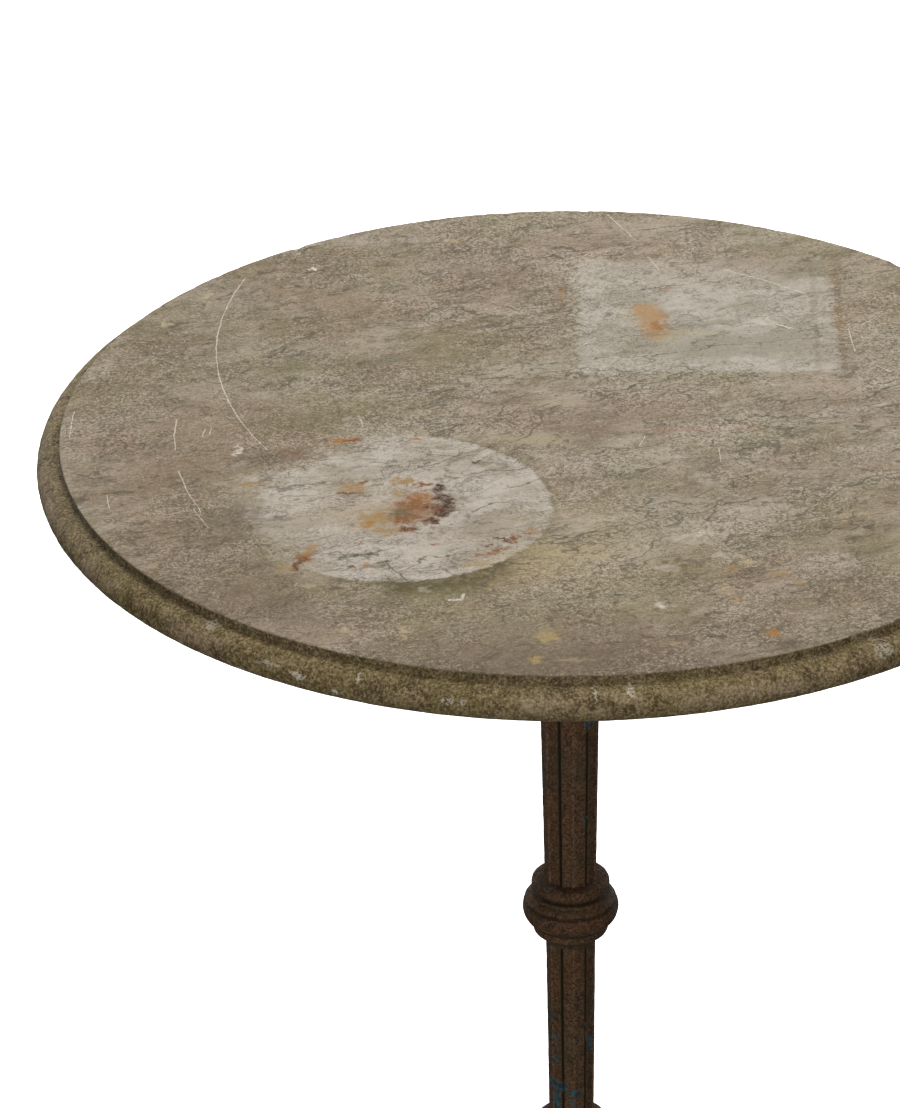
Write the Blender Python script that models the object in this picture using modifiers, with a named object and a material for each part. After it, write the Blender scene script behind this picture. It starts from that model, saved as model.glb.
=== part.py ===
"""Round stone-topped bistro table on a cast-iron pedestal with three scroll legs.

Metres, +Z up. The origin is on the floor, under the middle of the round top. The castings are stacked on
one long tie rod: finial, leg hub, base ring, lower shaft, collar, upper shaft and top spider. The three
legs are bolted to flats on the hub, and the stone is screwed to the spider through lead anchors.
"""

from math import cos, pi, radians, sin

import bmesh
import bpy
from mathutils import Matrix, Vector
from mathutils.geometry import interpolate_bezier

# ---------------------------------------------------------------- driving dimensions

GAP = 0.0003

TABLE_HEIGHT = 0.720
TOP_RADIUS = 0.300
STONE_THICKNESS = 0.0255
FACE_RADIUS = 0.2866
STEP_DEPTH = 0.0058
NOSE_CENTRE_RADIUS = 0.2870
STONE_STEPS = 72

BED_THICKNESS = 0.0020
SPIDER_ARMS = 4
SPIDER_REACH = 0.165
SPIDER_PLATE = 0.0065
SPIDER_PAD_RADIUS = 0.0185
SPIDER_ARM_WIDTH = 0.024
SPIDER_ARM_ROOT = 0.0126
SPIDER_FACING = 0.0006
SPIDER_WEB = 0.0075
SPIDER_BOSS_RADIUS = 0.0265
SPIDER_BOSS_HEIGHT = 0.037
NUT_POCKET_RADIUS = 0.0135
NUT_POCKET_DEPTH = 0.015

ANCHOR_RADIUS = 0.0065
ANCHOR_LENGTH = 0.0135
SCREW_RADIUS = 0.0027
SCREW_HOLE_RADIUS = 0.0032
SCREW_REACH = 0.0115

ARRIS_ANGLE = radians(38)
QUIRK_HALF_ANGLE = radians(2.6)
QUIRK_DEPTH = 0.0009
UPPER_SHAFT_FOOT_RADIUS = 0.01535
UPPER_SHAFT_HEAD_RADIUS = 0.0192
LOWER_SHAFT_FOOT_RADIUS = 0.0134
LOWER_SHAFT_HEAD_RADIUS = 0.01475
CORE_RADIUS = 0.0070
SPIGOT_RADIUS = 0.0105
SPIGOT_LENGTH = 0.0080

COLLAR_TOP = 0.4278
COLLAR_FOOT = 0.3860
BASE_RING_TOP = 0.2635
BASE_RING_FOOT = 0.2405

HUB_TOP = BASE_RING_FOOT - GAP
HUB_FOOT = 0.1000
HUB_RADIUS = 0.0240
HUB_FLAT_DISTANCE = 0.0210
FLAT_TOP = 0.1900
FLAT_FOOT = 0.1180

LEGS = 3
LEG_FLANGE_THICKNESS = 0.0060
LEG_FLANGE_WIDTH = 0.0210
LEG_BOLT_HEIGHTS = {"a": 0.1770, "b": 0.1310}
LEG_CENTRE_HEIGHT = 0.1540
LEG_DEPTH = 0.0250
LEG_FLATNESS = 0.56
FOOT_REACH = 0.2360
FOOT_RADIUS = 0.0180
FOOT_HEIGHT = 0.0100

BOLT_RADIUS = 0.0040
BOLT_HEAD_RADIUS = 0.0075
BOLT_HEAD_HEIGHT = 0.0053
BOLT_REACH = 0.0100
WASHER_THICKNESS = 0.0016
LEG_WASHER_RADIUS = 0.0082

ROD_RADIUS = 0.0050
ROD_NUT_RADIUS = 0.0098
ROD_NUT_HEIGHT = 0.0080
ROD_WASHER_RADIUS = 0.0115
FINIAL_FOOT = 0.0500
FINIAL_CUP_RADIUS = 0.0124
FINIAL_CUP_DEPTH = 0.0140
ROD_FOOT = 0.0740

# ---------------------------------------------------------------- worked-out places

STONE_FOOT = TABLE_HEIGHT - STONE_THICKNESS
BED_TOP = STONE_FOOT - GAP
SPIDER_TOP = BED_TOP - BED_THICKNESS - GAP
SPIDER_FOOT = SPIDER_TOP - SPIDER_BOSS_HEIGHT
UPPER_SHAFT_HEAD = SPIDER_FOOT - GAP
UPPER_SHAFT_FOOT = COLLAR_TOP + GAP
LOWER_SHAFT_HEAD = COLLAR_FOOT - GAP
LOWER_SHAFT_FOOT = BASE_RING_TOP + GAP
NUT_POCKET_FLOOR = SPIDER_TOP - NUT_POCKET_DEPTH
SOCKET_RADIUS = SPIGOT_RADIUS + GAP
SOCKET_DEPTH = SPIGOT_LENGTH + GAP
FLANGE_OUTER = HUB_FLAT_DISTANCE + GAP + LEG_FLANGE_THICKNESS
FINIAL_TOP = HUB_FOOT - GAP

# ---------------------------------------------------------------- scene helpers


def clear_scene():
    """Remove every object that the scene opened with."""
    for item in list(bpy.data.objects):
        bpy.data.objects.remove(item, do_unlink=True)


def new_collection(name):
    """Make a collection and link it to the scene."""
    made = bpy.data.collections.new(name)
    bpy.context.scene.collection.children.link(made)
    return made


clear_scene()
TABLE = new_collection("bistro_table")
CUTTERS = new_collection("cutters")


def finish_material(name, colour, roughness, metallic):
    """A Principled material in one colour."""
    made = bpy.data.materials.new(name)
    made.use_nodes = True
    shader = made.node_tree.nodes["Principled BSDF"]
    shader.inputs["Base Color"].default_value = (*colour, 1.0)
    shader.inputs["Roughness"].default_value = roughness
    shader.inputs["Metallic"].default_value = metallic
    return made


STONE = ((0.27, 0.22, 0.17), 0.85, 0.0)
RUSTED_IRON = ((0.050, 0.030, 0.020), 0.80, 0.3)
LEAD = ((0.16, 0.16, 0.17), 0.65, 0.6)
RUSTED_STEEL = ((0.075, 0.042, 0.026), 0.75, 0.5)


def add_part(name, mesh, finish, smooth=True):
    """Link a mesh as one named sub-part with a material of its own."""
    made = bpy.data.objects.new(name, mesh)
    TABLE.objects.link(made)
    mesh.materials.clear()
    mesh.materials.append(finish_material(name, *finish))
    if smooth:
        mesh.shade_smooth()
        mesh.set_sharp_from_angle(angle=radians(32))
    return made


def add_tool(name, mesh):
    """Link a mesh as a hidden cutter or a hidden shape to join."""
    made = bpy.data.objects.new(name, mesh)
    CUTTERS.objects.link(made)
    made.hide_render = True
    made.display_type = "WIRE"
    return made


def boolean(target, tool, operation):
    """Cut a tool from a part, or join it to the part."""
    step = target.modifiers.new(tool.name, "BOOLEAN")
    step.operation = operation
    step.object = tool
    step.solver = "EXACT"


# ---------------------------------------------------------------- shape helpers


def mesh_from(name, build):
    """Fill a new mesh with what build(bmesh) makes."""
    shape = bmesh.new()
    build(shape)
    bmesh.ops.recalc_face_normals(shape, faces=shape.faces)
    mesh = bpy.data.meshes.new(name)
    shape.to_mesh(mesh)
    shape.free()
    return mesh


def cylinder(name, radius, low, high, segments=32):
    """Upright capped cylinder between two heights."""

    def build(shape):
        middle = Matrix.Translation((0, 0, (low + high) / 2))
        bmesh.ops.create_cone(
            shape,
            cap_ends=True,
            segments=segments,
            radius1=radius,
            radius2=radius,
            depth=high - low,
            matrix=middle,
        )

    return mesh_from(name, build)


def cylinder_along_x(name, radius, low, high, segments=14):
    """Capped cylinder lying along +X between two distances from the table's axis."""
    mesh = cylinder(name, radius, low, high, segments)
    mesh.transform(Matrix.Rotation(pi / 2, 4, "Y"))
    return mesh


def block(name, low, high):
    """Box between two corners."""

    def build(shape):
        size = Vector(high) - Vector(low)
        place = Matrix.Translation((Vector(low) + Vector(high)) / 2)
        bmesh.ops.create_cube(shape, size=1.0, matrix=place @ Matrix.Diagonal((*size, 1.0)))

    return mesh_from(name, build)


def arc(centre_radius, centre_height, across, up, start, end, steps):
    """Points along part of an ellipse in the profile plane, from one angle to another in degrees."""
    points = []
    for step in range(steps + 1):
        angle = radians(start + (end - start) * step / steps)
        points.append((centre_radius + across * cos(angle), centre_height + up * sin(angle)))
    return points


def turned(name, profile, finish, steps=28, closed=False):
    """Turned piece: a profile of (radius, height) points, outer side first from top to bottom."""
    mesh = bpy.data.meshes.new(name)
    edges = [(i, i + 1) for i in range(len(profile) - 1)]
    if closed:
        edges.append((len(profile) - 1, 0))
    mesh.from_pydata([(radius, 0.0, height) for radius, height in profile], edges, [])
    made = add_part(name, mesh, finish, smooth=False)
    screw = made.modifiers.new("turn", "SCREW")
    screw.axis = "Z"
    screw.steps = steps
    screw.render_steps = steps
    screw.use_merge_vertices = True
    screw.merge_threshold = 0.00001
    screw.use_smooth_shade = True
    return made


def ring(name, inner, outer, low, high, finish, steps=14):
    """Flat washer."""
    profile = [(inner, high), (outer, high), (outer, low), (inner, low)]
    return turned(name, profile, finish, steps, closed=True)


def around_axis(count, start=0.0):
    """Equal turns about the table's axis."""
    return [start + 2 * pi * index / count for index in range(count)]


# ---------------------------------------------------------------- stone top


def stone_profile():
    """Flat face, upright step, then a rounded nose that returns under the slab."""
    nose_height = (STONE_THICKNESS - STEP_DEPTH) / 2
    nose = arc(
        NOSE_CENTRE_RADIUS,
        STONE_FOOT + nose_height,
        TOP_RADIUS - NOSE_CENTRE_RADIUS,
        nose_height,
        90,
        -90,
        6,
    )
    face = [
        (0.0, TABLE_HEIGHT),
        (FACE_RADIUS - 0.0007, TABLE_HEIGHT),
        (FACE_RADIUS, TABLE_HEIGHT - 0.0007),
        (FACE_RADIUS, TABLE_HEIGHT - STEP_DEPTH),
    ]
    return face + nose + [(0.0, STONE_FOOT)]


def build_stone_top():
    """Slab with four blind pockets in its underside for the anchors."""
    stone = turned("stone_top", stone_profile(), STONE, STONE_STEPS)
    pocket = cylinder(
        "anchor_pocket",
        ANCHOR_RADIUS + GAP,
        STONE_FOOT - 0.005,
        STONE_FOOT + ANCHOR_LENGTH + GAP,
        12,
    )
    for index, turn in enumerate(spider_turns(), start=1):
        cutter = add_tool(f"anchor_pocket_{index}", pocket)
        cutter.location = arm_end(turn)
        boolean(stone, cutter, "DIFFERENCE")


# ---------------------------------------------------------------- spider and its fixings


def spider_turns():
    """Directions of the spider's arms."""
    return around_axis(SPIDER_ARMS, radians(45))


def arm_end(turn):
    """Centre of an arm's end pad, seen from above."""
    return Vector((SPIDER_REACH * cos(turn), SPIDER_REACH * sin(turn), 0.0))


def arm_mesh():
    """T-shaped arm, a little below the machined boss and pads, whose web runs out at the end pad."""
    half = SPIDER_ARM_WIDTH / 2
    web = SPIDER_WEB / 2
    top = SPIDER_TOP - SPIDER_FACING
    under = SPIDER_TOP - SPIDER_PLATE + SPIDER_FACING
    deep = SPIDER_FOOT + 0.004
    section = [
        (-half, top),
        (-half, under),
        (-web, under),
        (-web, deep),
        (web, deep),
        (web, under),
        (half, under),
        (half, top),
    ]

    def build(shape):
        root = [shape.verts.new((SPIDER_ARM_ROOT, across, height)) for across, height in section]
        face = shape.faces.new(root)
        grown = bmesh.ops.extrude_face_region(shape, geom=[face])["geom"]
        for corner in [item for item in grown if isinstance(item, bmesh.types.BMVert)]:
            corner.co.x = SPIDER_REACH - 0.010
            corner.co.y *= 0.80
            if corner.co.z < under - 0.001:
                corner.co.z = under - 0.0015

    return mesh_from("spider_arm", build)


def build_spider():
    """Boss with a socket below for the shaft and a pocket above for the rod's nut, and four arms."""
    boss = [
        (CORE_RADIUS, SPIDER_TOP),
        (SPIDER_BOSS_RADIUS, SPIDER_TOP),
        (SPIDER_BOSS_RADIUS, SPIDER_TOP - 0.020),
        (SPIDER_BOSS_RADIUS - 0.0035, SPIDER_TOP - 0.027),
        *arc(SPIDER_BOSS_RADIUS - 0.0035, SPIDER_FOOT + 0.004, 0.003, 0.004, 60, -90, 3),
        (SOCKET_RADIUS, SPIDER_FOOT),
        (SOCKET_RADIUS, SPIDER_FOOT + SOCKET_DEPTH),
        (CORE_RADIUS, SPIDER_FOOT + SOCKET_DEPTH),
    ]
    spider = turned("top_spider", boss, RUSTED_IRON, 24, closed=True)
    arm = arm_mesh()
    pad = cylinder("spider_pad", SPIDER_PAD_RADIUS, SPIDER_TOP - SPIDER_PLATE, SPIDER_TOP, 20)
    hole = cylinder("spider_hole", SCREW_HOLE_RADIUS, SPIDER_TOP - 0.02, SPIDER_TOP + 0.01, 12)
    for index, turn in enumerate(spider_turns(), start=1):
        reach = add_tool(f"spider_arm_{index}", arm)
        reach.rotation_euler.z = turn
        boolean(spider, reach, "UNION")
        end = add_tool(f"spider_end_{index}", pad)
        end.location = arm_end(turn)
        boolean(spider, end, "UNION")
        drill = add_tool(f"spider_hole_{index}", hole)
        drill.location = arm_end(turn)
        boolean(spider, drill, "DIFFERENCE")
    pocket = cylinder("nut_pocket", NUT_POCKET_RADIUS, NUT_POCKET_FLOOR, SPIDER_TOP + 0.01)
    boolean(spider, add_tool("nut_pocket", pocket), "DIFFERENCE")


def build_top_fixings():
    """Bedding washer, lead anchor, screw and steel washer at the end of each arm."""
    screw_seat = SPIDER_TOP - SPIDER_PLATE - GAP - WASHER_THICKNESS - GAP
    screw_tip = STONE_FOOT + SCREW_REACH
    for index, turn in enumerate(spider_turns(), start=1):
        place = arm_end(turn)
        bed = ring(
            f"bedding_washer_{index}",
            SCREW_HOLE_RADIUS,
            SPIDER_PAD_RADIUS - 0.002,
            BED_TOP - BED_THICKNESS,
            BED_TOP,
            LEAD,
        )
        anchor_profile = [
            (0.0, STONE_FOOT + ANCHOR_LENGTH),
            (ANCHOR_RADIUS, STONE_FOOT + ANCHOR_LENGTH),
            (ANCHOR_RADIUS, STONE_FOOT + GAP),
            (SCREW_RADIUS + GAP, STONE_FOOT + GAP),
            (SCREW_RADIUS + GAP, screw_tip + GAP),
            (0.0, screw_tip + GAP),
        ]
        anchor = turned(f"top_anchor_{index}", anchor_profile, LEAD, 12)
        head = arc(0.0, screw_seat - 0.0008, 0.0058, 0.0034, 0, -90, 4)
        screw_profile = [
            (0.0, screw_tip),
            (SCREW_RADIUS - 0.0012, screw_tip),
            (SCREW_RADIUS, screw_tip - 0.0018),
            (SCREW_RADIUS, screw_seat),
            (0.0058, screw_seat),
            *head,
        ]
        screw = turned(f"top_screw_{index}", screw_profile, RUSTED_STEEL, 12)
        slot = block(
            "screw_slot",
            (-0.0070, -0.0006, screw_seat - 0.0060),
            (0.0070, 0.0006, screw_seat - 0.0026),
        )
        slot_cutter = add_tool(f"screw_slot_{index}", slot)
        slot_cutter.location = place
        slot_cutter.rotation_euler.z = turn + 0.7 * index
        boolean(screw, slot_cutter, "DIFFERENCE")
        washer = ring(
            f"top_washer_{index}",
            SCREW_HOLE_RADIUS,
            0.0075,
            screw_seat + GAP,
            screw_seat + GAP + WASHER_THICKNESS,
            RUSTED_STEEL,
        )
        for piece in (bed, anchor, screw, washer):
            piece.location = place


# ---------------------------------------------------------------- shafts, collar and base ring


def polar(radius, angle):
    """Point on a circle about the table's axis."""
    return Vector((radius * cos(angle), radius * sin(angle)))


def shaft_section(radius):
    """Twelve-sided outline whose corners are by turns a plain arris and a V-shaped quirk."""
    corners = []
    for arris in around_axis(6, ARRIS_ANGLE):
        quirk = arris + radians(30)
        corners.append(polar(radius, arris))
        corners.append(polar(radius, quirk - QUIRK_HALF_ANGLE))
        corners.append(polar(radius - QUIRK_DEPTH, quirk))
        corners.append(polar(radius, quirk + QUIRK_HALF_ANGLE))
    return corners


def build_shaft(name, low, high, foot_radius, head_radius):
    """Hollow tapered shaft with a round spigot at each end."""

    def build(shape):
        rim = [shape.verts.new((*corner, low)) for corner in shaft_section(foot_radius)]
        face = shape.faces.new(rim)
        grown = bmesh.ops.extrude_face_region(shape, geom=[face])["geom"]
        upper = [item for item in grown if isinstance(item, bmesh.types.BMVert)]
        spread = head_radius / foot_radius
        bmesh.ops.translate(shape, verts=upper, vec=(0, 0, high - low))
        bmesh.ops.scale(shape, verts=upper, vec=(spread, spread, 1.0))

    shaft = add_part(name, mesh_from(name, build), RUSTED_IRON, smooth=False)
    spigot = cylinder("spigot", SPIGOT_RADIUS, low - SPIGOT_LENGTH, high + SPIGOT_LENGTH)
    core = cylinder("core", CORE_RADIUS, low - 0.02, high + 0.02)
    boolean(shaft, add_tool(f"{name}_spigot", spigot), "UNION")
    boolean(shaft, add_tool(f"{name}_core", core), "DIFFERENCE")


def socketed(outer, top, foot):
    """Close a turned outline with a socket at each end and the core hole between them."""
    return [
        (SOCKET_RADIUS, top),
        *outer,
        (SOCKET_RADIUS, foot),
        (SOCKET_RADIUS, foot + SOCKET_DEPTH),
        (CORE_RADIUS, foot + SOCKET_DEPTH),
        (CORE_RADIUS, top - SOCKET_DEPTH),
        (SOCKET_RADIUS, top - SOCKET_DEPTH),
    ]


def build_collar():
    """Knob between the shafts: a small upper ring, a broad quirked bulge and a small lower roll."""
    outline = [
        (0.0197, COLLAR_TOP),
        *arc(0.0196, 0.4242, 0.0032, 0.0034, 70, -80, 4),
        (0.0203, 0.4196),
        (0.0222, 0.4190),
        *arc(0.0210, 0.4086, 0.0070, 0.0088, 66, 28, 2),
        (0.0268, 0.4122),
        *arc(0.0206, 0.4078, 0.0074, 0.0092, 24, -62, 5),
        (0.0214, 0.3974),
        *arc(0.0160, 0.3934, 0.0036, 0.0036, 60, -70, 3),
        (0.0160, COLLAR_FOOT + 0.0024),
        (0.0152, COLLAR_FOOT),
    ]
    turned("shaft_collar", socketed(outline, COLLAR_TOP, COLLAR_FOOT), RUSTED_IRON, 30, closed=True)


def build_base_ring():
    """Ring under the lower shaft: a small torus on a broader one."""
    outline = [
        (0.0150, BASE_RING_TOP),
        *arc(0.0166, 0.2588, 0.0044, 0.0042, 80, -80, 4),
        (0.0178, 0.2538),
        (0.0205, 0.2530),
        *arc(0.0200, 0.2470, 0.0055, 0.0060, 80, -80, 5),
        (0.0185, BASE_RING_FOOT),
    ]
    turned("base_ring", socketed(outline, BASE_RING_TOP, BASE_RING_FOOT), RUSTED_IRON, closed=True)


# ---------------------------------------------------------------- leg hub, finial and tie rod


def build_hub():
    """Vase-shaped hub with three upright flats, each with two blind bolt holes."""
    outer = [
        (0.0172, HUB_TOP),
        (0.0165, HUB_TOP - 0.0030),
        *arc(0.0300, 0.2180, 0.0148, 0.0180, 150, 210, 4),
        *arc(0.0150, FLAT_TOP + 0.0040, HUB_RADIUS - 0.0150, 0.0130, 60, 0, 4),
        (HUB_RADIUS, FLAT_FOOT - 0.0030),
        (0.0228, FLAT_FOOT - 0.0050),
        *arc(0.0215, HUB_FOOT + 0.0058, 0.0030, 0.0044, 70, -80, 4),
        (0.0205, HUB_FOOT),
    ]
    profile = [
        (SOCKET_RADIUS, HUB_TOP),
        *outer,
        (CORE_RADIUS, HUB_FOOT),
        (CORE_RADIUS, HUB_TOP - SOCKET_DEPTH),
        (SOCKET_RADIUS, HUB_TOP - SOCKET_DEPTH),
    ]
    hub = turned("leg_hub", profile, RUSTED_IRON, closed=True)
    flat = block(
        "hub_flat",
        (HUB_FLAT_DISTANCE, -0.03, FLAT_FOOT),
        (HUB_RADIUS + 0.02, 0.03, FLAT_TOP),
    )
    hole = cylinder_along_x(
        "hub_hole",
        BOLT_RADIUS + GAP,
        HUB_FLAT_DISTANCE - BOLT_REACH - GAP,
        HUB_RADIUS + 0.02,
    )
    for index, turn in enumerate(around_axis(LEGS, LEG_START), start=1):
        facing = add_tool(f"hub_flat_{index}", flat)
        facing.rotation_euler.z = turn
        boolean(hub, facing, "DIFFERENCE")
        for level, height in LEG_BOLT_HEIGHTS.items():
            drill = add_tool(f"hub_hole_{index}{level}", hole)
            drill.rotation_euler.z = turn
            drill.location.z = height
            boolean(hub, drill, "DIFFERENCE")


def build_spigot_bush():
    """Short tube that centres the base ring on the hub."""
    bush = [
        (SPIGOT_RADIUS, BASE_RING_FOOT + SPIGOT_LENGTH),
        (SPIGOT_RADIUS, HUB_TOP - SPIGOT_LENGTH),
        (CORE_RADIUS, HUB_TOP - SPIGOT_LENGTH),
        (CORE_RADIUS, BASE_RING_FOOT + SPIGOT_LENGTH),
    ]
    turned("centring_bush", bush, RUSTED_STEEL, 20, closed=True)


def hex_nut(name, radius, low, high, hole_radius, finish):
    """Six-sided nut with a clear bore."""
    nut = add_part(name, cylinder(name, radius, low, high, 6), finish, smooth=False)
    bore = cylinder("bore", hole_radius, low - 0.005, high + 0.005, 16)
    boolean(nut, add_tool(f"{name}_bore", bore), "DIFFERENCE")
    return nut


def build_tie_rod():
    """Rod through the whole stack, with a nut and washer in the spider and another under the hub."""
    upper_washer = NUT_POCKET_FLOOR + GAP
    upper_nut = upper_washer + WASHER_THICKNESS + GAP
    lower_washer = HUB_FOOT - GAP - WASHER_THICKNESS
    lower_nut = lower_washer - GAP - ROD_NUT_HEIGHT
    bore = ROD_RADIUS + GAP
    rod_top = upper_nut + ROD_NUT_HEIGHT + 0.0030
    rod = [
        (0.0, rod_top),
        (ROD_RADIUS - 0.0010, rod_top),
        (ROD_RADIUS, rod_top - 0.0010),
        (ROD_RADIUS, ROD_FOOT + 0.0010),
        (ROD_RADIUS - 0.0010, ROD_FOOT),
        (0.0, ROD_FOOT),
    ]
    turned("tie_rod", rod, RUSTED_STEEL, 16)
    ring(
        "rod_top_washer",
        bore,
        ROD_WASHER_RADIUS,
        upper_washer,
        upper_washer + WASHER_THICKNESS,
        RUSTED_STEEL,
    )
    hex_nut(
        "rod_top_nut",
        ROD_NUT_RADIUS,
        upper_nut,
        upper_nut + ROD_NUT_HEIGHT,
        bore,
        RUSTED_STEEL,
    )
    ring(
        "rod_bottom_washer",
        bore,
        ROD_WASHER_RADIUS,
        lower_washer,
        lower_washer + WASHER_THICKNESS,
        RUSTED_STEEL,
    )
    hex_nut(
        "rod_bottom_nut",
        ROD_NUT_RADIUS,
        lower_nut,
        lower_nut + ROD_NUT_HEIGHT,
        bore,
        RUSTED_STEEL,
    )


def build_finial():
    """Turned drop that screws onto the rod's end and hides the lower nut in its cup."""
    cup_floor = FINIAL_TOP - FINIAL_CUP_DEPTH
    profile = [
        (FINIAL_CUP_RADIUS, FINIAL_TOP),
        (0.0196, FINIAL_TOP),
        *arc(0.0188, FINIAL_TOP - 0.0040, 0.0032, 0.0034, 70, -70, 4),
        (0.0188, FINIAL_TOP - 0.0090),
        (0.0172, FINIAL_TOP - 0.0150),
        (0.0120, FINIAL_TOP - 0.0215),
        (0.0098, FINIAL_TOP - 0.0250),
        *arc(0.0, FINIAL_FOOT + 0.0125, 0.0125, 0.0125, 38, -90, 7),
    ]
    bore = [
        (0.0, ROD_FOOT - GAP),
        (ROD_RADIUS + GAP, ROD_FOOT - GAP),
        (ROD_RADIUS + GAP, cup_floor),
        (FINIAL_CUP_RADIUS, cup_floor),
        (FINIAL_CUP_RADIUS, FINIAL_TOP),
    ]
    turned("bottom_finial", profile + bore, RUSTED_IRON, 24)


# ---------------------------------------------------------------- legs and their bolts

LEG_START = radians(-90)

LEG_SPINE = [
    ((0.0255, LEG_CENTRE_HEIGHT), (0.0420, LEG_CENTRE_HEIGHT), (0.0680, 0.1720), (0.0980, 0.1610)),
    ((0.0980, 0.1610), (0.1330, 0.1482), (0.1620, 0.0980), (0.1840, 0.0580)),
    ((0.1840, 0.0580), (0.1980, 0.0320), (0.2140, 0.0140), (FOOT_REACH, 0.0100)),
]


def bezier_path(pieces, steps):
    """Points along joined Bezier pieces in the upright plane of a leg."""
    points = []
    for start, start_handle, end_handle, end in pieces:
        run = interpolate_bezier(
            Vector((start[0], 0, start[1])),
            Vector((start_handle[0], 0, start_handle[1])),
            Vector((end_handle[0], 0, end_handle[1])),
            Vector((end[0], 0, end[1])),
            steps,
        )
        points += run if not points else run[1:]
    return points


def scroll_path():
    """Spiral that leaves the underside of the leg and curls in towards the hub."""
    centre = Vector((0.0790, 0.0, 0.1170))
    turns = 1.35
    steps = 22
    points = []
    for step in range(steps + 1):
        share = step / steps
        radius = 0.0385 - 0.0300 * share**0.85
        angle = radians(62) - 2 * pi * turns * share
        points.append(centre + Vector((radius * cos(angle), 0, radius * sin(angle))))
    return points


def swept_mesh(name, points, radius_at, sides):
    """Round bar along points, made a mesh, with its end caps welded."""
    curve = bpy.data.curves.new(name, "CURVE")
    curve.dimensions = "3D"
    curve.bevel_depth = 1.0
    curve.bevel_resolution = sides
    curve.use_fill_caps = True
    spline = curve.splines.new("POLY")
    spline.points.add(len(points) - 1)
    for index, point in enumerate(points):
        spline.points[index].co = (*point, 1.0)
        spline.points[index].radius = radius_at(index / (len(points) - 1))
    guide = add_tool(name, curve)
    graph = bpy.context.evaluated_depsgraph_get()
    mesh = bpy.data.meshes.new_from_object(guide.evaluated_get(graph))
    bpy.data.objects.remove(guide, do_unlink=True)
    shape = bmesh.new()
    shape.from_mesh(mesh)
    bmesh.ops.remove_doubles(shape, verts=shape.verts, dist=0.00001)
    bmesh.ops.recalc_face_normals(shape, faces=shape.faces)
    shape.to_mesh(mesh)
    shape.free()
    return mesh


def leg_radius(share):
    """Half depth of the leg: full at the hub, slimmer at the ankle."""
    return LEG_DEPTH / 2 * (1.0 - 0.36 * share)


def scroll_radius(share):
    """Half depth of the scroll, with a small round bead at its inner end."""
    bead = 0.0022 * max(0.0, (share - 0.90) / 0.10)
    return 0.0056 - 0.0016 * share + bead


def build_leg(index, turn):
    """Arched leg with its bolting flange, round foot and scroll."""
    name = f"leg_{index}"
    bar = swept_mesh(f"{name}_bar", bezier_path(LEG_SPINE, 8), leg_radius, 3)
    bar.transform(Matrix.Diagonal((1.0, LEG_FLATNESS, 1.0, 1.0)))
    leg = add_part(name, bar, RUSTED_IRON, smooth=False)
    leg.rotation_euler.z = turn
    scroll = swept_mesh(f"{name}_scroll", scroll_path(), scroll_radius, 2)
    scroll.transform(Matrix.Diagonal((1.0, 0.85, 1.0, 1.0)))
    flange = block(
        "leg_flange",
        (HUB_FLAT_DISTANCE + GAP, -LEG_FLANGE_WIDTH / 2, FLAT_FOOT + 0.0015),
        (FLANGE_OUTER, LEG_FLANGE_WIDTH / 2, FLAT_TOP - 0.0015),
    )
    foot = cylinder("leg_foot", FOOT_RADIUS, 0.0, FOOT_HEIGHT, 20)
    hole = cylinder_along_x("leg_hole", BOLT_RADIUS + GAP, HUB_FLAT_DISTANCE - 0.005, 0.04)
    for label, mesh in (("scroll", scroll), ("flange", flange), ("foot", foot)):
        tool = add_tool(f"{name}_{label}", mesh)
        tool.rotation_euler.z = turn
        if label == "foot":
            tool.location = (*polar(FOOT_REACH, turn), 0.0)
        boolean(leg, tool, "UNION")
    for level, height in LEG_BOLT_HEIGHTS.items():
        drill = add_tool(f"{name}_hole_{level}", hole)
        drill.rotation_euler.z = turn
        drill.location.z = height
        boolean(leg, drill, "DIFFERENCE")


def build_leg_bolt(index, level, turn, height):
    """Hexagon-head bolt through the leg's flange into the hub, and its washer."""
    name = f"leg_bolt_{index}{level}"
    washer_face = FLANGE_OUTER + GAP
    head_face = washer_face + WASHER_THICKNESS + GAP
    head = cylinder_along_x(name, BOLT_HEAD_RADIUS, head_face, head_face + BOLT_HEAD_HEIGHT, 6)
    bolt = add_part(name, head, RUSTED_STEEL, smooth=False)
    shank = cylinder_along_x(
        "shank",
        BOLT_RADIUS,
        HUB_FLAT_DISTANCE - BOLT_REACH,
        head_face + BOLT_HEAD_HEIGHT / 2,
    )
    bolt_shank = add_tool(f"{name}_shank", shank)
    boolean(bolt, bolt_shank, "UNION")
    washer = add_part(
        f"leg_washer_{index}{level}",
        cylinder_along_x(
            "washer",
            LEG_WASHER_RADIUS,
            washer_face,
            washer_face + WASHER_THICKNESS,
        ),
        RUSTED_STEEL,
        smooth=False,
    )
    bore = cylinder_along_x("washer_bore", BOLT_RADIUS + GAP, 0.01, 0.05)
    washer_bore = add_tool(f"leg_washer_{index}{level}_bore", bore)
    boolean(washer, washer_bore, "DIFFERENCE")
    for item in (bolt, bolt_shank, washer, washer_bore):
        item.rotation_euler.z = turn
        item.location.z = height


def build_legs():
    """Three equal legs, each held by two bolts."""
    for index, turn in enumerate(around_axis(LEGS, LEG_START), start=1):
        build_leg(index, turn)
        for level, height in LEG_BOLT_HEIGHTS.items():
            build_leg_bolt(index, level, turn, height)


# ---------------------------------------------------------------- the table

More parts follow.
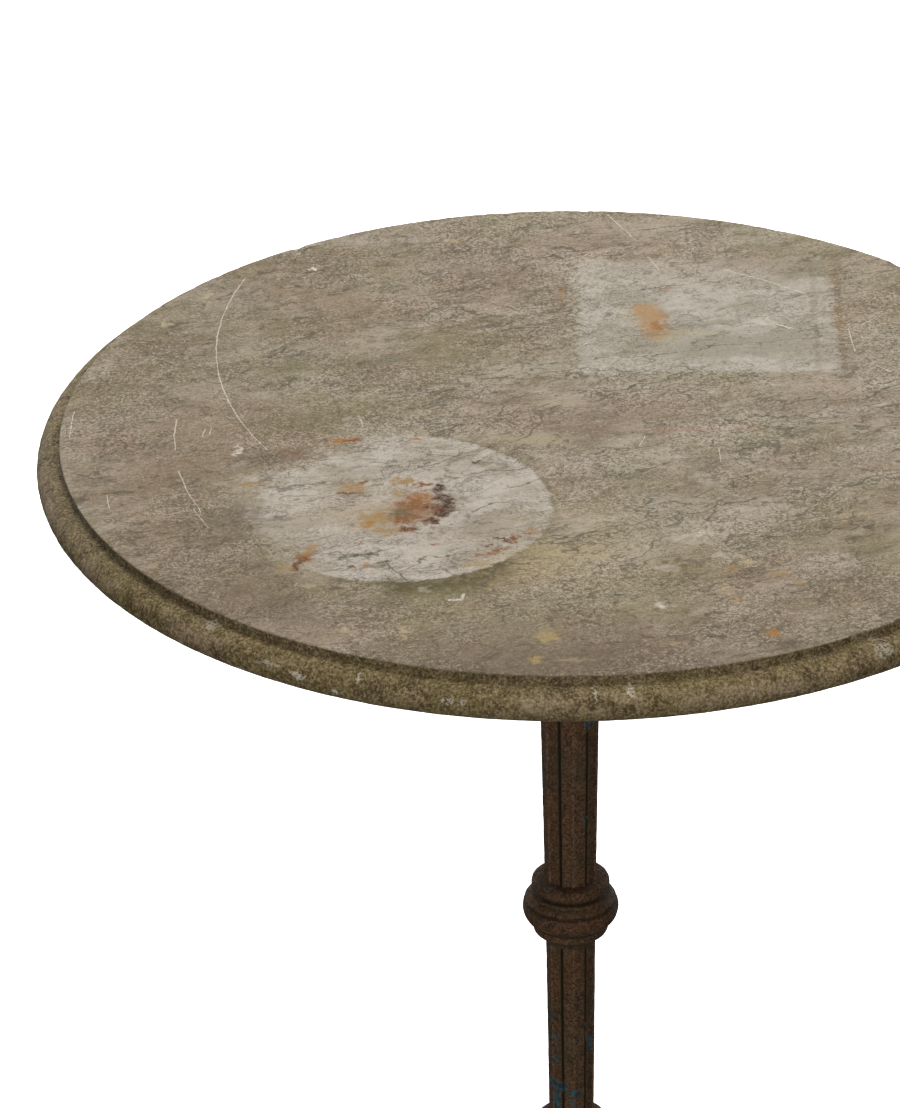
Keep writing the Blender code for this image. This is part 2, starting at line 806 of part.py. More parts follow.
build_stone_top()
build_spider()
build_top_fixings()
build_shaft(
    "upper_shaft",
    UPPER_SHAFT_FOOT,
    UPPER_SHAFT_HEAD,
    UPPER_SHAFT_FOOT_RADIUS,
    UPPER_SHAFT_HEAD_RADIUS,
)
build_collar()
build_shaft(
    "lower_shaft",
    LOWER_SHAFT_FOOT,
    LOWER_SHAFT_HEAD,
    LOWER_SHAFT_FOOT_RADIUS,
    LOWER_SHAFT_HEAD_RADIUS,
)
build_base_ring()
build_spigot_bush()
build_hub()
build_tie_rod()
build_finial()
build_legs()
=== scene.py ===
"""Looks of the weathered stone-topped bistro table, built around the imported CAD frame."""

from math import cos, pi, radians, sin

import bmesh
import bpy
from mathutils import Matrix, Vector, noise
from mathutils.geometry import interpolate_bezier


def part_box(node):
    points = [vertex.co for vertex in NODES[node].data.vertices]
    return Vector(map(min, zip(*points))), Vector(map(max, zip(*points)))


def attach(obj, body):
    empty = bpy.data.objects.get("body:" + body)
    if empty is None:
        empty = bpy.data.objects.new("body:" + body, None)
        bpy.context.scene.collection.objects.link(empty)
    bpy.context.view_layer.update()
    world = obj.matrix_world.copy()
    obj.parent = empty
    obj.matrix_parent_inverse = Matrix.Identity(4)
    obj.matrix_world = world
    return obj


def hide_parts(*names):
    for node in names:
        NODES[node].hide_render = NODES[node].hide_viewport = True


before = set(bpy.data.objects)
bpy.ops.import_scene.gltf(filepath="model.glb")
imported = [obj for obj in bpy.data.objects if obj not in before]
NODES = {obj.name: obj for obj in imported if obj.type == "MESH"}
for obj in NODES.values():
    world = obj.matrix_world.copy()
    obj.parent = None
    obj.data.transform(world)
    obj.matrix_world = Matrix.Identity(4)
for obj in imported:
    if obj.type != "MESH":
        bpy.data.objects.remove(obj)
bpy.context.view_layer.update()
MM = 0.001

# ---- places on the stone

STONE_LOW, STONE_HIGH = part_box("stone_top")
TABLE_TOP = STONE_HIGH.z
STONE_FOOT = STONE_LOW.z
RIM_RADIUS = STONE_HIGH.x
LEDGE_WIDTH = 0.0134
FACE_RADIUS = RIM_RADIUS - LEDGE_WIDTH
STEP_DEPTH = 0.0058
NOSE_REACH = 0.013


# ---- node graph helpers


def srgb(red, green, blue):
    """Linear colour from the 0 to 255 values of a colour picker."""

    def linear(level):
        share = level / 255
        return share / 12.92 if share <= 0.04045 else ((share + 0.055) / 1.055) ** 2.4

    return (linear(red), linear(green), linear(blue), 1.0)


def arithmetic(operation, swapped=False):
    """Method that joins a value with another, or with a number, in a Math node."""

    def method(value, other=0.0):
        pair = (other, value) if swapped else (value, other)
        return value.graph.math(operation, *pair)

    return method


class Value:
    """An output socket that can be used in plain arithmetic."""

    def __init__(self, graph, socket):
        self.graph = graph
        self.socket = socket

    __add__ = __radd__ = arithmetic("ADD")
    __sub__ = arithmetic("SUBTRACT")
    __rsub__ = arithmetic("SUBTRACT", swapped=True)
    __mul__ = __rmul__ = arithmetic("MULTIPLY")
    __truediv__ = arithmetic("DIVIDE")
    higher = arithmetic("MAXIMUM")
    lower = arithmetic("MINIMUM")
    __abs__ = arithmetic("ABSOLUTE")
    root = arithmetic("SQRT")
    cosine = arithmetic("COSINE")

    def step(self, low, high):
        """Smooth step from 0 at low to 1 at high. With low above high it falls instead."""
        inputs = {"Value": self, "From Min": min(low, high), "From Max": max(low, high)}
        if low > high:
            inputs |= {"To Min": 1.0, "To Max": 0.0}
        return self.graph.node("MapRange", inputs, interpolation_type="SMOOTHSTEP")


class Graph:
    """Short names for the shader nodes of one material or node group."""

    def __init__(self, tree):
        self.tree = tree

    def put(self, socket, value):
        """Link a value to an input socket, or set the socket's own constant."""
        if isinstance(value, Value):
            self.tree.links.new(value.socket, socket)
        else:
            socket.default_value = value

    def node(self, kind, inputs=(), output=0, **settings):
        """One output of a new node that has these settings and inputs."""
        made = self.tree.nodes.new(f"ShaderNode{kind}")
        for name, setting in settings.items():
            setattr(made, name, setting)
        for key, value in dict(inputs).items():
            self.put(made.inputs[key], value)
        return Value(self, made.outputs[output])

    def math(self, operation, first, second):
        return self.node("Math", {0: first, 1: second}, operation=operation)

    def vector(self, operation, first, second):
        inputs = {0: first, 3 if operation == "SCALE" else 1: second}
        lone = operation in ("LENGTH", "DOT_PRODUCT", "DISTANCE")
        return self.node("VectorMath", inputs, "Value" if lone else "Vector", operation=operation)

    def placed(self, vector, turn=0.0, size=(1, 1, 1)):
        """The vector seen from a turned and scaled frame."""
        inputs = {"Vector": vector, "Rotation": (0, 0, turn), "Scale": size}
        return self.node("Mapping", inputs, vector_type="TEXTURE")

    def noise(self, vector, scale, detail=4, roughness=0.55, distortion=0, output=0):
        """Fractal noise around 0.5; scale is in features per metre."""
        inputs = {"Vector": vector, "Scale": scale, "Detail": detail}
        inputs |= {"Roughness": roughness, "Distortion": distortion}
        return self.node("TexNoise", inputs, output)

    def cells(self, vector, scale):
        """Distance to the nearest of some scattered points."""
        return self.node("TexVoronoi", {"Vector": vector, "Scale": scale}, "Distance")

    def parts(self, vector):
        split = self.node("SeparateXYZ", {0: vector}).socket.node
        return [Value(self, output) for output in split.outputs]

    def blend(self, share, first, second):
        """Mix of two colours."""
        return self.node("Mix", {0: share, 6: first, 7: second}, 2, data_type="RGBA")

    def coat(self, share, *tint):
        """Lay a tint over the material's colour so far: a colour, or its 0 to 255 values."""
        self.colour = self.blend(share, self.colour, srgb(*tint) if len(tint) == 3 else tint[0])

    def warped(self, vector, scale, amount, detail=3):
        """The vector pushed about by coloured noise, by up to about half the amount each way."""
        push = self.noise(vector, scale, detail, output="Color")
        push = self.vector("SUBTRACT", push, (0.5, 0.5, 0.5))
        return self.vector("ADD", vector, self.vector("SCALE", push, amount))

    def flattened(self, vector):
        """The vector with no height."""
        return self.vector("MULTIPLY", vector, (1, 1, 0))

    def after(self, vector):
        """The same vector, but worked out only once the colour so far is known. Cycles would
        otherwise work out all the marks at once and run out of room for their values."""
        nothing = self.node("SeparateColor", {0: self.colour}).lower(0.0)
        return self.vector("ADD", vector, self.node("CombineXYZ", {0: nothing}))

    def patches(self, vector, marks, core):
        """Largest of some elliptical patches: x, y, half width, half depth, turn, strength."""
        mask = 0.0
        for x, y, width, depth, turn, strength in marks:
            angle = radians(turn)
            width, depth = width * MM, depth * MM
            inputs = {"Mask": mask, "Vector": vector, "Centre": (x * MM, y * MM, 0)}
            inputs["Across"] = (cos(angle) / width, sin(angle) / width, 0)
            inputs["Along"] = (-sin(angle) / depth, cos(angle) / depth, 0)
            inputs |= {"Core": core, "Strength": strength}
            mask = self.node("Group", inputs, node_tree=PATCH)
        return mask

    def strokes(self, vector, lines):
        """Largest of some thin straight lines: start x and y, end x and y, width."""
        mask = 0.0
        for x, y, end_x, end_y, width in lines:
            start = Vector((x, y, 0)) * MM
            along = Vector((end_x, end_y, 0)) * MM - start
            inputs = {"Mask": mask, "Vector": vector, "Start": start, "Along": along}
            inputs |= {"Inverse": along / along.length_squared, "Half": width * MM / 2}
            mask = self.node("Group", inputs, node_tree=STROKE)
        return mask

    def coat_marks(self, vector, marks, core, broken=1.0):
        """Lay marks over the colour so far, all the marks of one tint together."""
        for tint, rows in marks.items():
            self.coat(self.patches(self.after(vector), rows, core) * broken, tint)

    def finish(self, roughness, bump=None, depth=0.0005, metallic=0.0, gloss=0.5):
        """Wire the surface's colour, roughness and bump height into the shader."""
        inputs = {"Base Color": self.colour, "Roughness": roughness, "Metallic": metallic}
        inputs["Specular IOR Level"] = gloss
        if bump is not None:
            inputs["Normal"] = self.node("Bump", {"Distance": depth, "Strength": 1, "Height": bump})
        for name, value in inputs.items():
            self.put(self.shader.inputs[name], value)
        return self.material


def new_group(name, **inputs):
    """Graph and input values of a new node group that gives one mask."""
    tree = bpy.data.node_groups.new(name, "ShaderNodeTree")
    for label, kind in inputs.items():
        tree.interface.new_socket(label, in_out="INPUT", socket_type=f"NodeSocket{kind}")
    tree.interface.new_socket("Mask", in_out="OUTPUT", socket_type="NodeSocketFloat")
    g = Graph(tree)
    source = tree.nodes.new("NodeGroupInput")
    return g, [Value(g, output) for output in source.outputs[: len(inputs)]]


def close_group(g, mask):
    g.put(g.tree.nodes.new("NodeGroupOutput").inputs[0], mask)
    return g.tree


def patch_group():
    """Elliptical patch: full inside its core, falling smoothly to nothing at its edge."""
    inputs = {"Mask": "Float", "Vector": "Vector", "Centre": "Vector", "Across": "Vector"}
    inputs |= {"Along": "Vector", "Core": "Float", "Strength": "Float"}
    g, (mask, vector, centre, across, along, core, strength) = new_group("patch", **inputs)
    offset = g.vector("SUBTRACT", vector, centre)
    u = g.vector("DOT_PRODUCT", offset, across)
    v = g.vector("DOT_PRODUCT", offset, along)
    fall = (1.0 - (u * u + v * v).root()) / (1.0 - core)
    return close_group(g, mask.higher(fall.step(0, 1) * strength))


def stroke_group():
    """Thin straight line with soft sides."""
    inputs = {"Mask": "Float", "Vector": "Vector", "Start": "Vector", "Along": "Vector"}
    inputs |= {"Inverse": "Vector", "Half": "Float"}
    g, (mask, vector, start, along, inverse, half) = new_group("stroke", **inputs)
    offset = g.vector("SUBTRACT", vector, start)
    share = g.vector("DOT_PRODUCT", offset, inverse).higher(0.0).lower(1.0)
    miss = g.vector("DISTANCE", offset, g.vector("SCALE", along, share))
    return close_group(g, mask.higher(((half - miss) / half).step(0, 0.65)))


PATCH = patch_group()
STROKE = stroke_group()


def new_material(name):
    """Graph of a new material, with its shader and object coordinates."""
    material = bpy.data.materials.new(name)
    material.use_nodes = True
    g = Graph(material.node_tree)
    g.material = material
    g.shader = g.tree.nodes["Principled BSDF"]
    g.place = g.node("TexCoord", output="Object")
    return g


# ---- stone material

# Places in metres from the table's axis, x to the right and y to the back: the pot's ring, the
# planter's square and a long curved scratch.
POT_CENTRE = (-0.0955, -0.0945)
POT_RADIUS = 0.0875
PLANTER_CENTRE = (0.0806, 0.1443)
PLANTER_HALF = 0.0772
ARC_CENTRE = (0.0825, 0.11)
ARC_RADIUS = 0.2852

BROWN = srgb(112, 93, 74)
DARK_BROWN = srgb(88, 72, 55)
OLIVE = srgb(104, 97, 62)
DARK_OLIVE = srgb(84, 80, 56)
PALE = srgb(176, 167, 152)
CREAM = srgb(178, 166, 130)
OCHRE = srgb(146, 116, 66)
ORANGE = srgb(152, 102, 38)
RUST = srgb(120, 70, 28)
DARK_RUST = srgb(62, 37, 18)
UMBER = srgb(92, 54, 24)
GREY_MOSS = srgb(80, 80, 58)
CHALK = srgb(205, 198, 184)
VEIN = srgb(82, 74, 60)

# Patches of each tint in millimetres: x, y, half width, half depth, turn in degrees, strength.
TONES = {
    srgb(110, 94, 62): ((-35, -225, 100, 40, 5, 0.36),),
    srgb(116, 104, 76): ((-200, 90, 110, 100, 10, 0.26),),
    PALE: (
        (90, -110, 70, 60, 20, 0.34), (190, 90, 70, 60, 0, 0.34), (28, -155, 48, 34, 10, 0.6),
        (62, -96, 56, 32, 10, 0.4), (60, -120, 80, 55, 25, 0.35), (140, -70, 60, 40, 20, 0.22),
        (5, 180, 22, 100, 0, 0.2), (60, 262, 120, 26, 0, 0.24), (190, 0, 60, 50, 0, 0.26),
    ),
    srgb(146, 130, 86): ((5, -175, 130, 85, 15, 0.24),),
    srgb(122, 103, 76): ((-225, -20, 80, 190, 8, 0.42),),
    srgb(122, 110, 76): ((-120, 120, 110, 60, 15, 0.18),),
    srgb(118, 100, 78): ((60, -250, 200, 50, 3, 0.34),),
    BROWN: (
        (0, -285, 240, 75, 0, 0.66), (0, -240, 90, 40, 0, 0.46), (165, -195, 60, 45, 40, 0.3),
        (-5, -5, 48, 30, 10, 0.6), (-230, 0, 45, 80, 0, 0.26), (120, 32, 60, 26, 8, 0.26),
        (-60, 200, 75, 45, 10, 0.42), (-190, -190, 110, 70, -40, 0.6), (-200, 170, 60, 110, -35, 0.22),
        (-120, 235, 55, 30, 25, 0.26), (20, 20, 75, 40, 10, 0.25), (150, -200, 60, 50, 30, 0.4),
    ),
    DARK_BROWN: (
        (0, -280, 170, 60, 0, 0.42), (-185, -105, 45, 35, 30, 0.62), (-168, -36, 30, 18, 20, 0.55),
    ),
    OLIVE: (
        (-31, -217, 38, 22, 0, 0.34), (-150, 75, 90, 45, 10, 0.22), (120, -10, 60, 35, 15, 0.2),
    ),
}

STAINS = {
    srgb(142, 122, 92): ((-118, -92, 60, 48, 10, 0.4),),
    srgb(150, 122, 76): ((-100, -108, 38, 24, 0, 0.4),),
    OLIVE: (
        (-143, 4, 24, 14, 0, 0.8), (-160, 8, 50, 26, 0, 0.4), (-140, 80, 40, 14, 0, 0.3),
        (118, 232, 30, 16, -20, 0.4), (-66, -194, 60, 15, 8, 0.66),
    ),
    DARK_OLIVE: (
        (-109, 86, 26, 9, 10, 0.55), (27, -58, 28, 8, -4, 0.6), (79, -44, 21, 12, 40, 0.55),
        (105, -22, 26, 7, 25, 0.4), (64, 62, 18, 4, 6, 0.6),
    ),
    BROWN: (
        (67, -70, 15, 8, 32, 0.62), (-4, 143, 7, 78, 0, 0.4), (45, 223.5, 60, 5, 1, 0.42),
        (-105, 219, 38, 6, 24, 0.4), (-138, 226, 14, 9, 10, 0.45), (20, -262, 55, 16, 4, 0.5),
        (200, -60, 40, 10, 24, 0.4),
    ),
    DARK_BROWN: (
        (-4, 181, 4, 10, 0, 0.6), (117, -252, 12, 10, 45, 0.8), (-150, -215, 55, 20, -38, 0.45),
        (-175, -165, 40, 16, -30, 0.4),
    ),
    CREAM: (
        (-20, -12, 35, 12, -6, 0.4), (-4, 33, 22, 8, 8, 0.35),
    ),
    CHALK: (
        (-76, -148, 40, 20, 0, 0.26), (-150, -98, 34, 30, 0, 0.22),
    ),
    PALE: (
        (0, -120, 18, 26, 10, 0.5), (78, -66, 30, 6, -52, 0.42), (118, -98, 34, 8, -40, 0.34),
    ),
    srgb(156, 136, 88): ((-14, -158, 62, 34, 24, 0.46),),
    srgb(160, 147, 116): ((10, -120, 50, 60, -20, 0.34),),
}

# Rust and pale spots, drawn with crisper edges than the stains.
SPOTS = {
    ORANGE: (
        (-127, -14, 12, 4.2, 14, 0.95), (-86, -13.5, 5.6, 2.4, -12, 0.9), (-110, -114.5, 6.2, 4.8, 0, 0.9),
        (-82, -85, 10.5, 8.5, 0, 0.85), (-109, -162, 4.6, 3.6, 0, 0.67), (-115, -138, 2.8, 3, 0, 0.9),
        (-20, -123, 5.6, 6, 30, 0.5), (45.5, 148.5, 13, 14.5, 20, 0.84), (49, 137, 11.5, 22, -8, 0.78),
        (58.5, 179, 4, 2, 0, 0.56), (108, -241, 5.8, 4.2, 0, 0.84),
    ),
    RUST: (
        (-123, -14, 6.9, 3, 14, 0.95), (-155, -28, 6.9, 4.1, 10, 0.67), (-144, -155, 5.3, 16.1, -22, 0.95),
        (-114, -67, 5.3, 4.8, 20, 0.9), (-116.5, -77, 4.4, 2.5, 0, 0.9), (-82, -67.5, 6, 3.7, -10, 0.95),
        (-78.5, -75, 6.4, 2.8, -10, 0.78), (-90.5, -109, 11.5, 7.1, 4, 0.9),
        (-84.5, -93, 8.5, 7.4, 0, 0.85), (-117.5, -163.5, 4.1, 1.7, 10, 0.95), (-73.5, -138, 3, 1.7, 0, 1),
        (-30, -132, 3.9, 5.1, 0, 0.95), (-48.5, -151, 3.9, 2.5, 0, 0.95), (-40, -147, 13.8, 3.9, 32, 0.8),
        (52, 129, 6.3, 11.5, 0, 0.5),
    ),
    BROWN: (
        (-154, -29, 14, 10, 25, 0.5), (-44, -43, 12, 2.6, -10, 0.5),
    ),
    OCHRE: (
        (-175, -67, 9, 3.6, 8, 0.78), (-141.5, -145, 4.5, 15, -18, 0.62), (-153, -165, 8, 6, 0, 0.45),
        (-119, -72, 11.5, 8.5, 20, 0.78), (-93, -77.5, 7.5, 6.2, 0, 0.62), (-93.5, -65, 8.6, 6, 0, 0.95),
        (-97, -122.5, 14, 6, 4, 0.84), (-106, -107, 12.5, 9, 0, 0.8), (-50, -160, 11, 5, 24, 0.5),
        (-170, 180, 6.5, 4.2, 20, 0.62), (88, -168.5, 3.8, 3.6, 0, 0.67), (114.5, -174.5, 8, 5.5, 0, 0.56),
        (125, -184, 4, 2.5, 0, 0.56), (90.5, -203, 5, 4.5, 0, 0.56), (54, 234.5, 3, 2.8, 0, 0.67),
        (66, 234.5, 3, 2.8, 0, 0.67), (58.5, 229, 3.4, 2.6, 0, 0.67),
    ),
    UMBER: (
        (-146.5, -162, 4.6, 10.3, -26, 0.9), (-123.5, -78, 7.6, 3.4, 10, 0.95),
        (-88, -121, 7.8, 4.6, 8, 1), (-70, -99, 7.6, 10.9, 0, 1), (-76.5, -112, 7.1, 4.1, 24, 1),
        (-44.5, -139.5, 3.2, 2.3, 0, 0.95), (-37, -133, 6.9, 2.8, -8, 1),
    ),
    srgb(124, 80, 38): ((-85, -96, 17.2, 23, -8, 0.9),),
    DARK_OLIVE: ((-92.5, -101, 8.5, 8.5, 0, 0.6),),
    DARK_RUST: (
        (-76.5, -94.5, 8, 3.9, 10, 0.84), (-74, -109, 4.6, 3, 24, 0.95), (-69.5, -84, 6.4, 11.5, 10, 1),
        (-71.5, -73, 5.3, 7.1, 20, 1), (-66.5, -91.5, 4.8, 9.8, -4, 1), (-68, -102, 4.1, 6.3, -20, 0.95),
        (-52, -40, 4, 2.1, 0, 0.95), (28.5, 74.5, 3.4, 1.8, 0, 0.78),
    ),
    GREY_MOSS: (
        (-107.5, -150, 6.4, 5.5, 0, 1), (-114, -150, 8.6, 4.6, 0, 0.9), (-121.5, -153, 6.7, 4.1, 10, 0.78),
        (-100, -158, 5.3, 2.5, 20, 0.9),
    ),
    DARK_BROWN: ((-68, -50, 4, 2.2, 0, 0.6),),
    srgb(152, 142, 120): ((-77, -190, 4.6, 5.2, 0, 0.8),),
    srgb(156, 112, 52): ((52, 121, 12, 16, -8, 0.5),),
    CREAM: (
        (42, 144, 20, 20, 0, 0.25), (70, 121, 33, 5, -6, 0.34), (56, 112, 16, 8, 0, 0.3),
        (-68, 244.5, 5.2, 5, 0, 0.5), (-159, 169, 4.8, 5.2, 0, 0.4), (-232, 134.5, 5.5, 4.5, 0, 0.6),
        (-211, 173, 3, 2.6, 0, 0.5), (98, -160, 8.2, 5, 6, 0.55), (83.5, -193, 7, 5, 8, 0.42),
        (2, -270, 13, 4, 0, 0.3), (-119, -236, 5, 5.2, 0, 0.45), (-88, -236, 5, 4.8, 0, 0.4),
        (80, 45, 7, 3, 0, 0.45),
    ),
    srgb(150, 110, 62): ((-3.5, 172, 2.2, 17, 0, 0.6),),
    srgb(124, 98, 50): ((157, 140, 1.7, 32, 1, 0.75),),
    srgb(140, 112, 66): ((154.5, 200, 2, 26, 1, 0.4),),
    CHALK: (
        (-149, 208.5, 3.2, 3, 0, 0.9), (-71.5, 201, 3.2, 1.8, -30, 0.6), (-185, -24, 2.2, 11, 4, 0.7),
        (50, -210, 7, 6, -30, 0.6), (66, -130, 20, 6, 12, 0.22), (92, 0, 11, 4, 18, 0.3),
        (113, 132.5, 12, 4, -34, 0.28),
    ),
    PALE: (
        (-126, 12, 3.6, 5.5, 0, 0.5), (-183, -42, 9, 4, 50, 0.3), (52.5, -167, 10, 5, 0, 0.45),
        (81.5, -153.5, 9, 4.8, 8, 0.5),
    ),
    srgb(158, 138, 92): ((-12, -244, 8, 13, -25, 0.75),),
    srgb(164, 140, 88): ((-17, -269, 6.2, 6, 0, 0.75),),
    srgb(158, 88, 72): (
        (62, -3.5, 30, 3, 3, 0.32), (96, -1, 18, 2.6, 6, 0.3), (25, -1.5, 16, 2.8, 0, 0.22),
    ),
}

# White scratches in millimetres: start x and y, end x and y, width.
SCRATCHES = (
    (-221.5, 13.5, -222, -6, 1.1), (-222, -6, -220.5, -24, 1), (-280, 24, -281, -8.5, 0.8),
    (-217.5, -50, -211, -76, 0.9), (-211, -76, -202.5, -100, 0.7), (-256, -78.5, -253.5, -95.5, 0.8),
    (24, 280.5, 40.5, 244.5, 0.9), (47.5, 222, 53.5, 205, 1), (92, 204, 116, 189, 1.1),
    (116, 189, 139.5, 170.5, 1), (114.5, 138.5, 129.5, 124, 1.3), (117, 133, 134, 123.5, 0.9),
    (162, 124, 165, 95.5, 1), (170, 129, 179, 140, 0.8), (176.5, 77, 184, 69, 1),
    (-204.5, 2, -206, -8, 0.8), (-201, 3, -202, -6, 0.7), (-207, -96, -198, -118, 0.6),
    (-117, 12, -116, 3, 0.9), (5, 100, 16, 115, 0.8), (43, -10, 40, -22, 0.8), (84, -25, 85, -42, 0.7),
    (-64.5, -202.5, -58, -202, 3.6), (-58, -202, -57, -195.5, 2.6),
)

# Dark cracks, given in the same way.
CRACKS = (
    (-93, -171, -74.5, -152, 1.6), (-74.5, -152, -54.5, -149, 1.3), (-54.5, -149, -40, -140, 1.1),
    (-100, -158, -93, -171, 1.6), (-91.5, -171, -84, -185, 1.8), (-132, -168, -100, -158, 1.4),
    (-132, -152, -108, -148, 1.4), (-108, -148, -96, -144, 1.2), (-132, -96, -118, -90, 1.2),
    (-56, -101, -40, -89, 1.2), (-92, -56, -56, -25, 1.4), (-66, -33, -38, -18, 1.2),
    (-56, -56, -24, -48, 1.2), (-36, -72, -14, -60, 1.2), (10, 105, 60, 128, 1.1), (60, 128, 110, 134, 1),
    (30, 86, 90, 104, 1.2), (90, 104, 150, 116, 1), (20, 170, 70, 185, 1), (85, 150, 145, 172, 1),
    (15, -30, 80, -10, 1.2), (50, -110, 120, -80, 1.2), (120, -80, 210, -56, 1.2), (20, 45, 75, 68, 1.2),
    (125, 30, 200, 52, 1.3), (150, 195, 205, 205, 1.3), (-90, 30, -20, 50, 1.1), (-40, 210, 20, 235, 1.2),
    (-5, 250, 90, 268, 1.2), (70, -195, 130, -170, 1.2), (135, -130, 170, -115, 1.1),
)


def stone_material():
    """Weathered stone: mottled veined face with its stains, and a mossy, gritty edge."""
    g = new_material("weathered_stone")
    place = g.place
    x, y, z = g.parts(place)
    soft = g.warped(place, 45, 0.018, 4)
    crisp = g.warped(place, 240, 0.006, 4)
    flat = g.flattened(crisp)
    flat_soft = g.flattened(soft)
    grit = g.noise(place, 620, 4, 0.84)
    coarse = g.noise(place, 150, 4, 0.7)
    broken = g.noise(place, 330, 5, 0.8).step(0.42, 0.55) * 0.55 + 0.55
    granular = grit.step(0.44, 0.54) * 0.62 + 0.48

    # Body of the stone, streaked along its bedding.
    bedding = g.placed(soft, turn=radians(21), size=(1.9, 0.85, 1))
    mottle = g.noise(bedding, 30, 7, 0.66)
    patches = g.noise(g.placed(place, turn=radians(15), size=(1.5, 0.9, 1)), 10, 3)
    blotch = g.noise(bedding, 110, 4, 0.68)
    g.colour = g.blend(mottle.step(0.38, 0.62), srgb(124, 110, 87), srgb(162, 151, 133))
    g.coat(patches.step(0.42, 0.6) * 0.34, 136, 122, 94)
    g.coat(blotch.step(0.5, 0.62) * 0.24, 100, 87, 64)
    g.coat(blotch.step(0.49, 0.38) * 0.22, 178, 168, 150)
    hue = g.noise(place, 15, 3)
    g.coat(hue.step(0.5, 0.62) * 0.34, 146, 123, 106)
    g.coat(hue.step(0.5, 0.38) * 0.28, 126, 118, 80)
    g.coat_marks(flat_soft, TONES, 0.0)

    # The pot's pale disc: crisp on the right, worn away on the left.
    from_pot = g.vector("SUBTRACT", flat, (*POT_CENTRE, 0))
    pot_distance = g.vector("LENGTH", from_pot, (0, 0, 0))
    pot_x, pot_y, _ = g.parts(from_pot)
    side = (pot_x + pot_y * -0.35).step(-0.06, 0.02)
    ragged = (coarse - 0.5) * 0.05 + (g.noise(place, 45, 3) - 0.5) * 0.07
    worn_edge = (pot_distance + ragged).step(POT_RADIUS + 0.002, POT_RADIUS - 0.026)
    crisp_edge = pot_distance.step(POT_RADIUS + 0.0006, POT_RADIUS - 0.0012)
    pot_inside = worn_edge * (1.0 - side) + crisp_edge * side
    pale_stone = g.blend(mottle.step(0.38, 0.62), srgb(156, 145, 130), srgb(184, 176, 166))
    g.coat(pot_inside * 0.72, pale_stone)
    lit_lip = abs(pot_distance - (POT_RADIUS - 0.004)).step(0.005, 0.001)
    g.coat(lit_lip * side * coarse.step(0.4, 0.6) * 0.35, 196, 190, 178)

    # The planter's pale square with soft borders.
    from_planter = g.vector("SUBTRACT", flat, (*PLANTER_CENTRE, 0))
    square_x, square_y, _ = g.parts(from_planter)
    reach = abs(square_x).higher(abs(square_y))
    square = (reach + (coarse - 0.5) * 0.01).step(PLANTER_HALF + 0.0015, PLANTER_HALF - 0.007)
    top_fade = square_y.step(0.075, 0.02)
    pale_square = g.blend(mottle.step(0.38, 0.62), srgb(154, 148, 135), srgb(182, 176, 166))
    g.coat(square * (0.24 + top_fade * 0.42), pale_square)
    inner_line = abs(square_x - (PLANTER_HALF - 0.0145)).step(0.003, 0.0006)
    g.coat(inner_line * square * 0.24, BROWN)
    right_border = abs(square_x - (PLANTER_HALF + 0.0005)).step(0.003, 0.0006)
    g.coat(right_border * abs(square_y).step(0.08, 0.07) * 0.3, BROWN)

    # Grit, pits and pale grains, calmer where the pot and the planter kept the weather off.
    calm = (1.0 - pot_inside * 0.5) * (1.0 - square * 0.45)
    level = calm * (g.noise(place, 20, 5, 0.65).step(0.42, 0.58) * 0.62 + 0.38)
    g.coat(grit.step(0.5, 0.6) * level * 0.82, 80, 66, 48)
    g.coat(grit.step(0.48, 0.4) * level * 0.42, 196, 187, 170)
    g.coat(coarse.step(0.52, 0.62) * level * 0.32, 98, 81, 55)
    pits = g.cells(crisp, 230).step(0.2, 0.1) * blotch.step(0.46, 0.56)
    g.coat(pits * 0.65, 70, 60, 45)

    # Brown crumbs and small lichen discs, thickest towards the front.
    front = y.step(0.08, -0.16) * calm
    crumbs = g.cells(crisp, 105).step(0.27, 0.15) * g.noise(place, 60, 3).step(0.49, 0.57)
    g.coat(crumbs * front * 0.62, 92, 70, 52)
    discs = g.cells(soft, 62).step(0.2, 0.13) * g.noise(place, 33, 2).step(0.5, 0.57)
    g.coat(discs * front * 0.5, 170, 150, 112)

    g.coat_marks(flat_soft, STAINS, 0.1, granular)

    # Moss that grew along the pot's foot, widest at the lower right.
    growth = g.noise(place, 170, 5, 0.75).step(0.42, 0.58)
    line = abs(pot_distance - POT_RADIUS).step(0.0022, 0.0006) * side * growth
    g.coat(line * 0.62, 104, 95, 58)
    lower = (pot_y + pot_x * -0.45).step(-0.04, -0.08)
    outside = pot_distance.step(POT_RADIUS - 0.0012, POT_RADIUS + 0.0006)
    width = pot_y.step(-0.045, -0.085) * 0.021
    fading = (pot_distance - width).step(POT_RADIUS + 0.001, POT_RADIUS - 0.014)
    right_half = pot_x.step(-0.02, 0.006)
    moss = outside * fading * lower * right_half * (0.62 + growth * 0.38)
    g.coat(moss * 0.95, 82, 72, 36)

    # Fine veins and crackle.
    vein_place = g.placed(soft, turn=radians(20), size=(2.2, 0.75, 1))
    for scale, width, strength in VEINS:
        field = g.noise(vein_place, scale, 2.5, 0.55, 1)
        thin = abs(field - 0.5).step(width, width * 0.15)
        where = g.noise(place, scale * 0.45, 3, 0.6).step(0.44, 0.54)
        g.coat(thin * where * (calm * 0.5 + 0.5) * strength, VEIN)
    crackle = abs(g.noise(crisp, 160, 2, 0.6, 1.5) - 0.5).step(0.034, 0.006)
    crackle_where = g.noise(place, 36, 4, 0.65).step(0.46, 0.56)
    g.coat(crackle * crackle_where * 0.5, 88, 79, 56)

    cracks = g.strokes(g.after(flat_soft), CRACKS) * (0.45 + coarse.step(0.44, 0.54) * 0.55)
    g.coat(cracks * 0.8, VEIN)
    ragged_place = g.flattened(g.warped(place, 170, 0.017, 5))
    g.coat_marks(ragged_place, SPOTS, 0.32, broken)

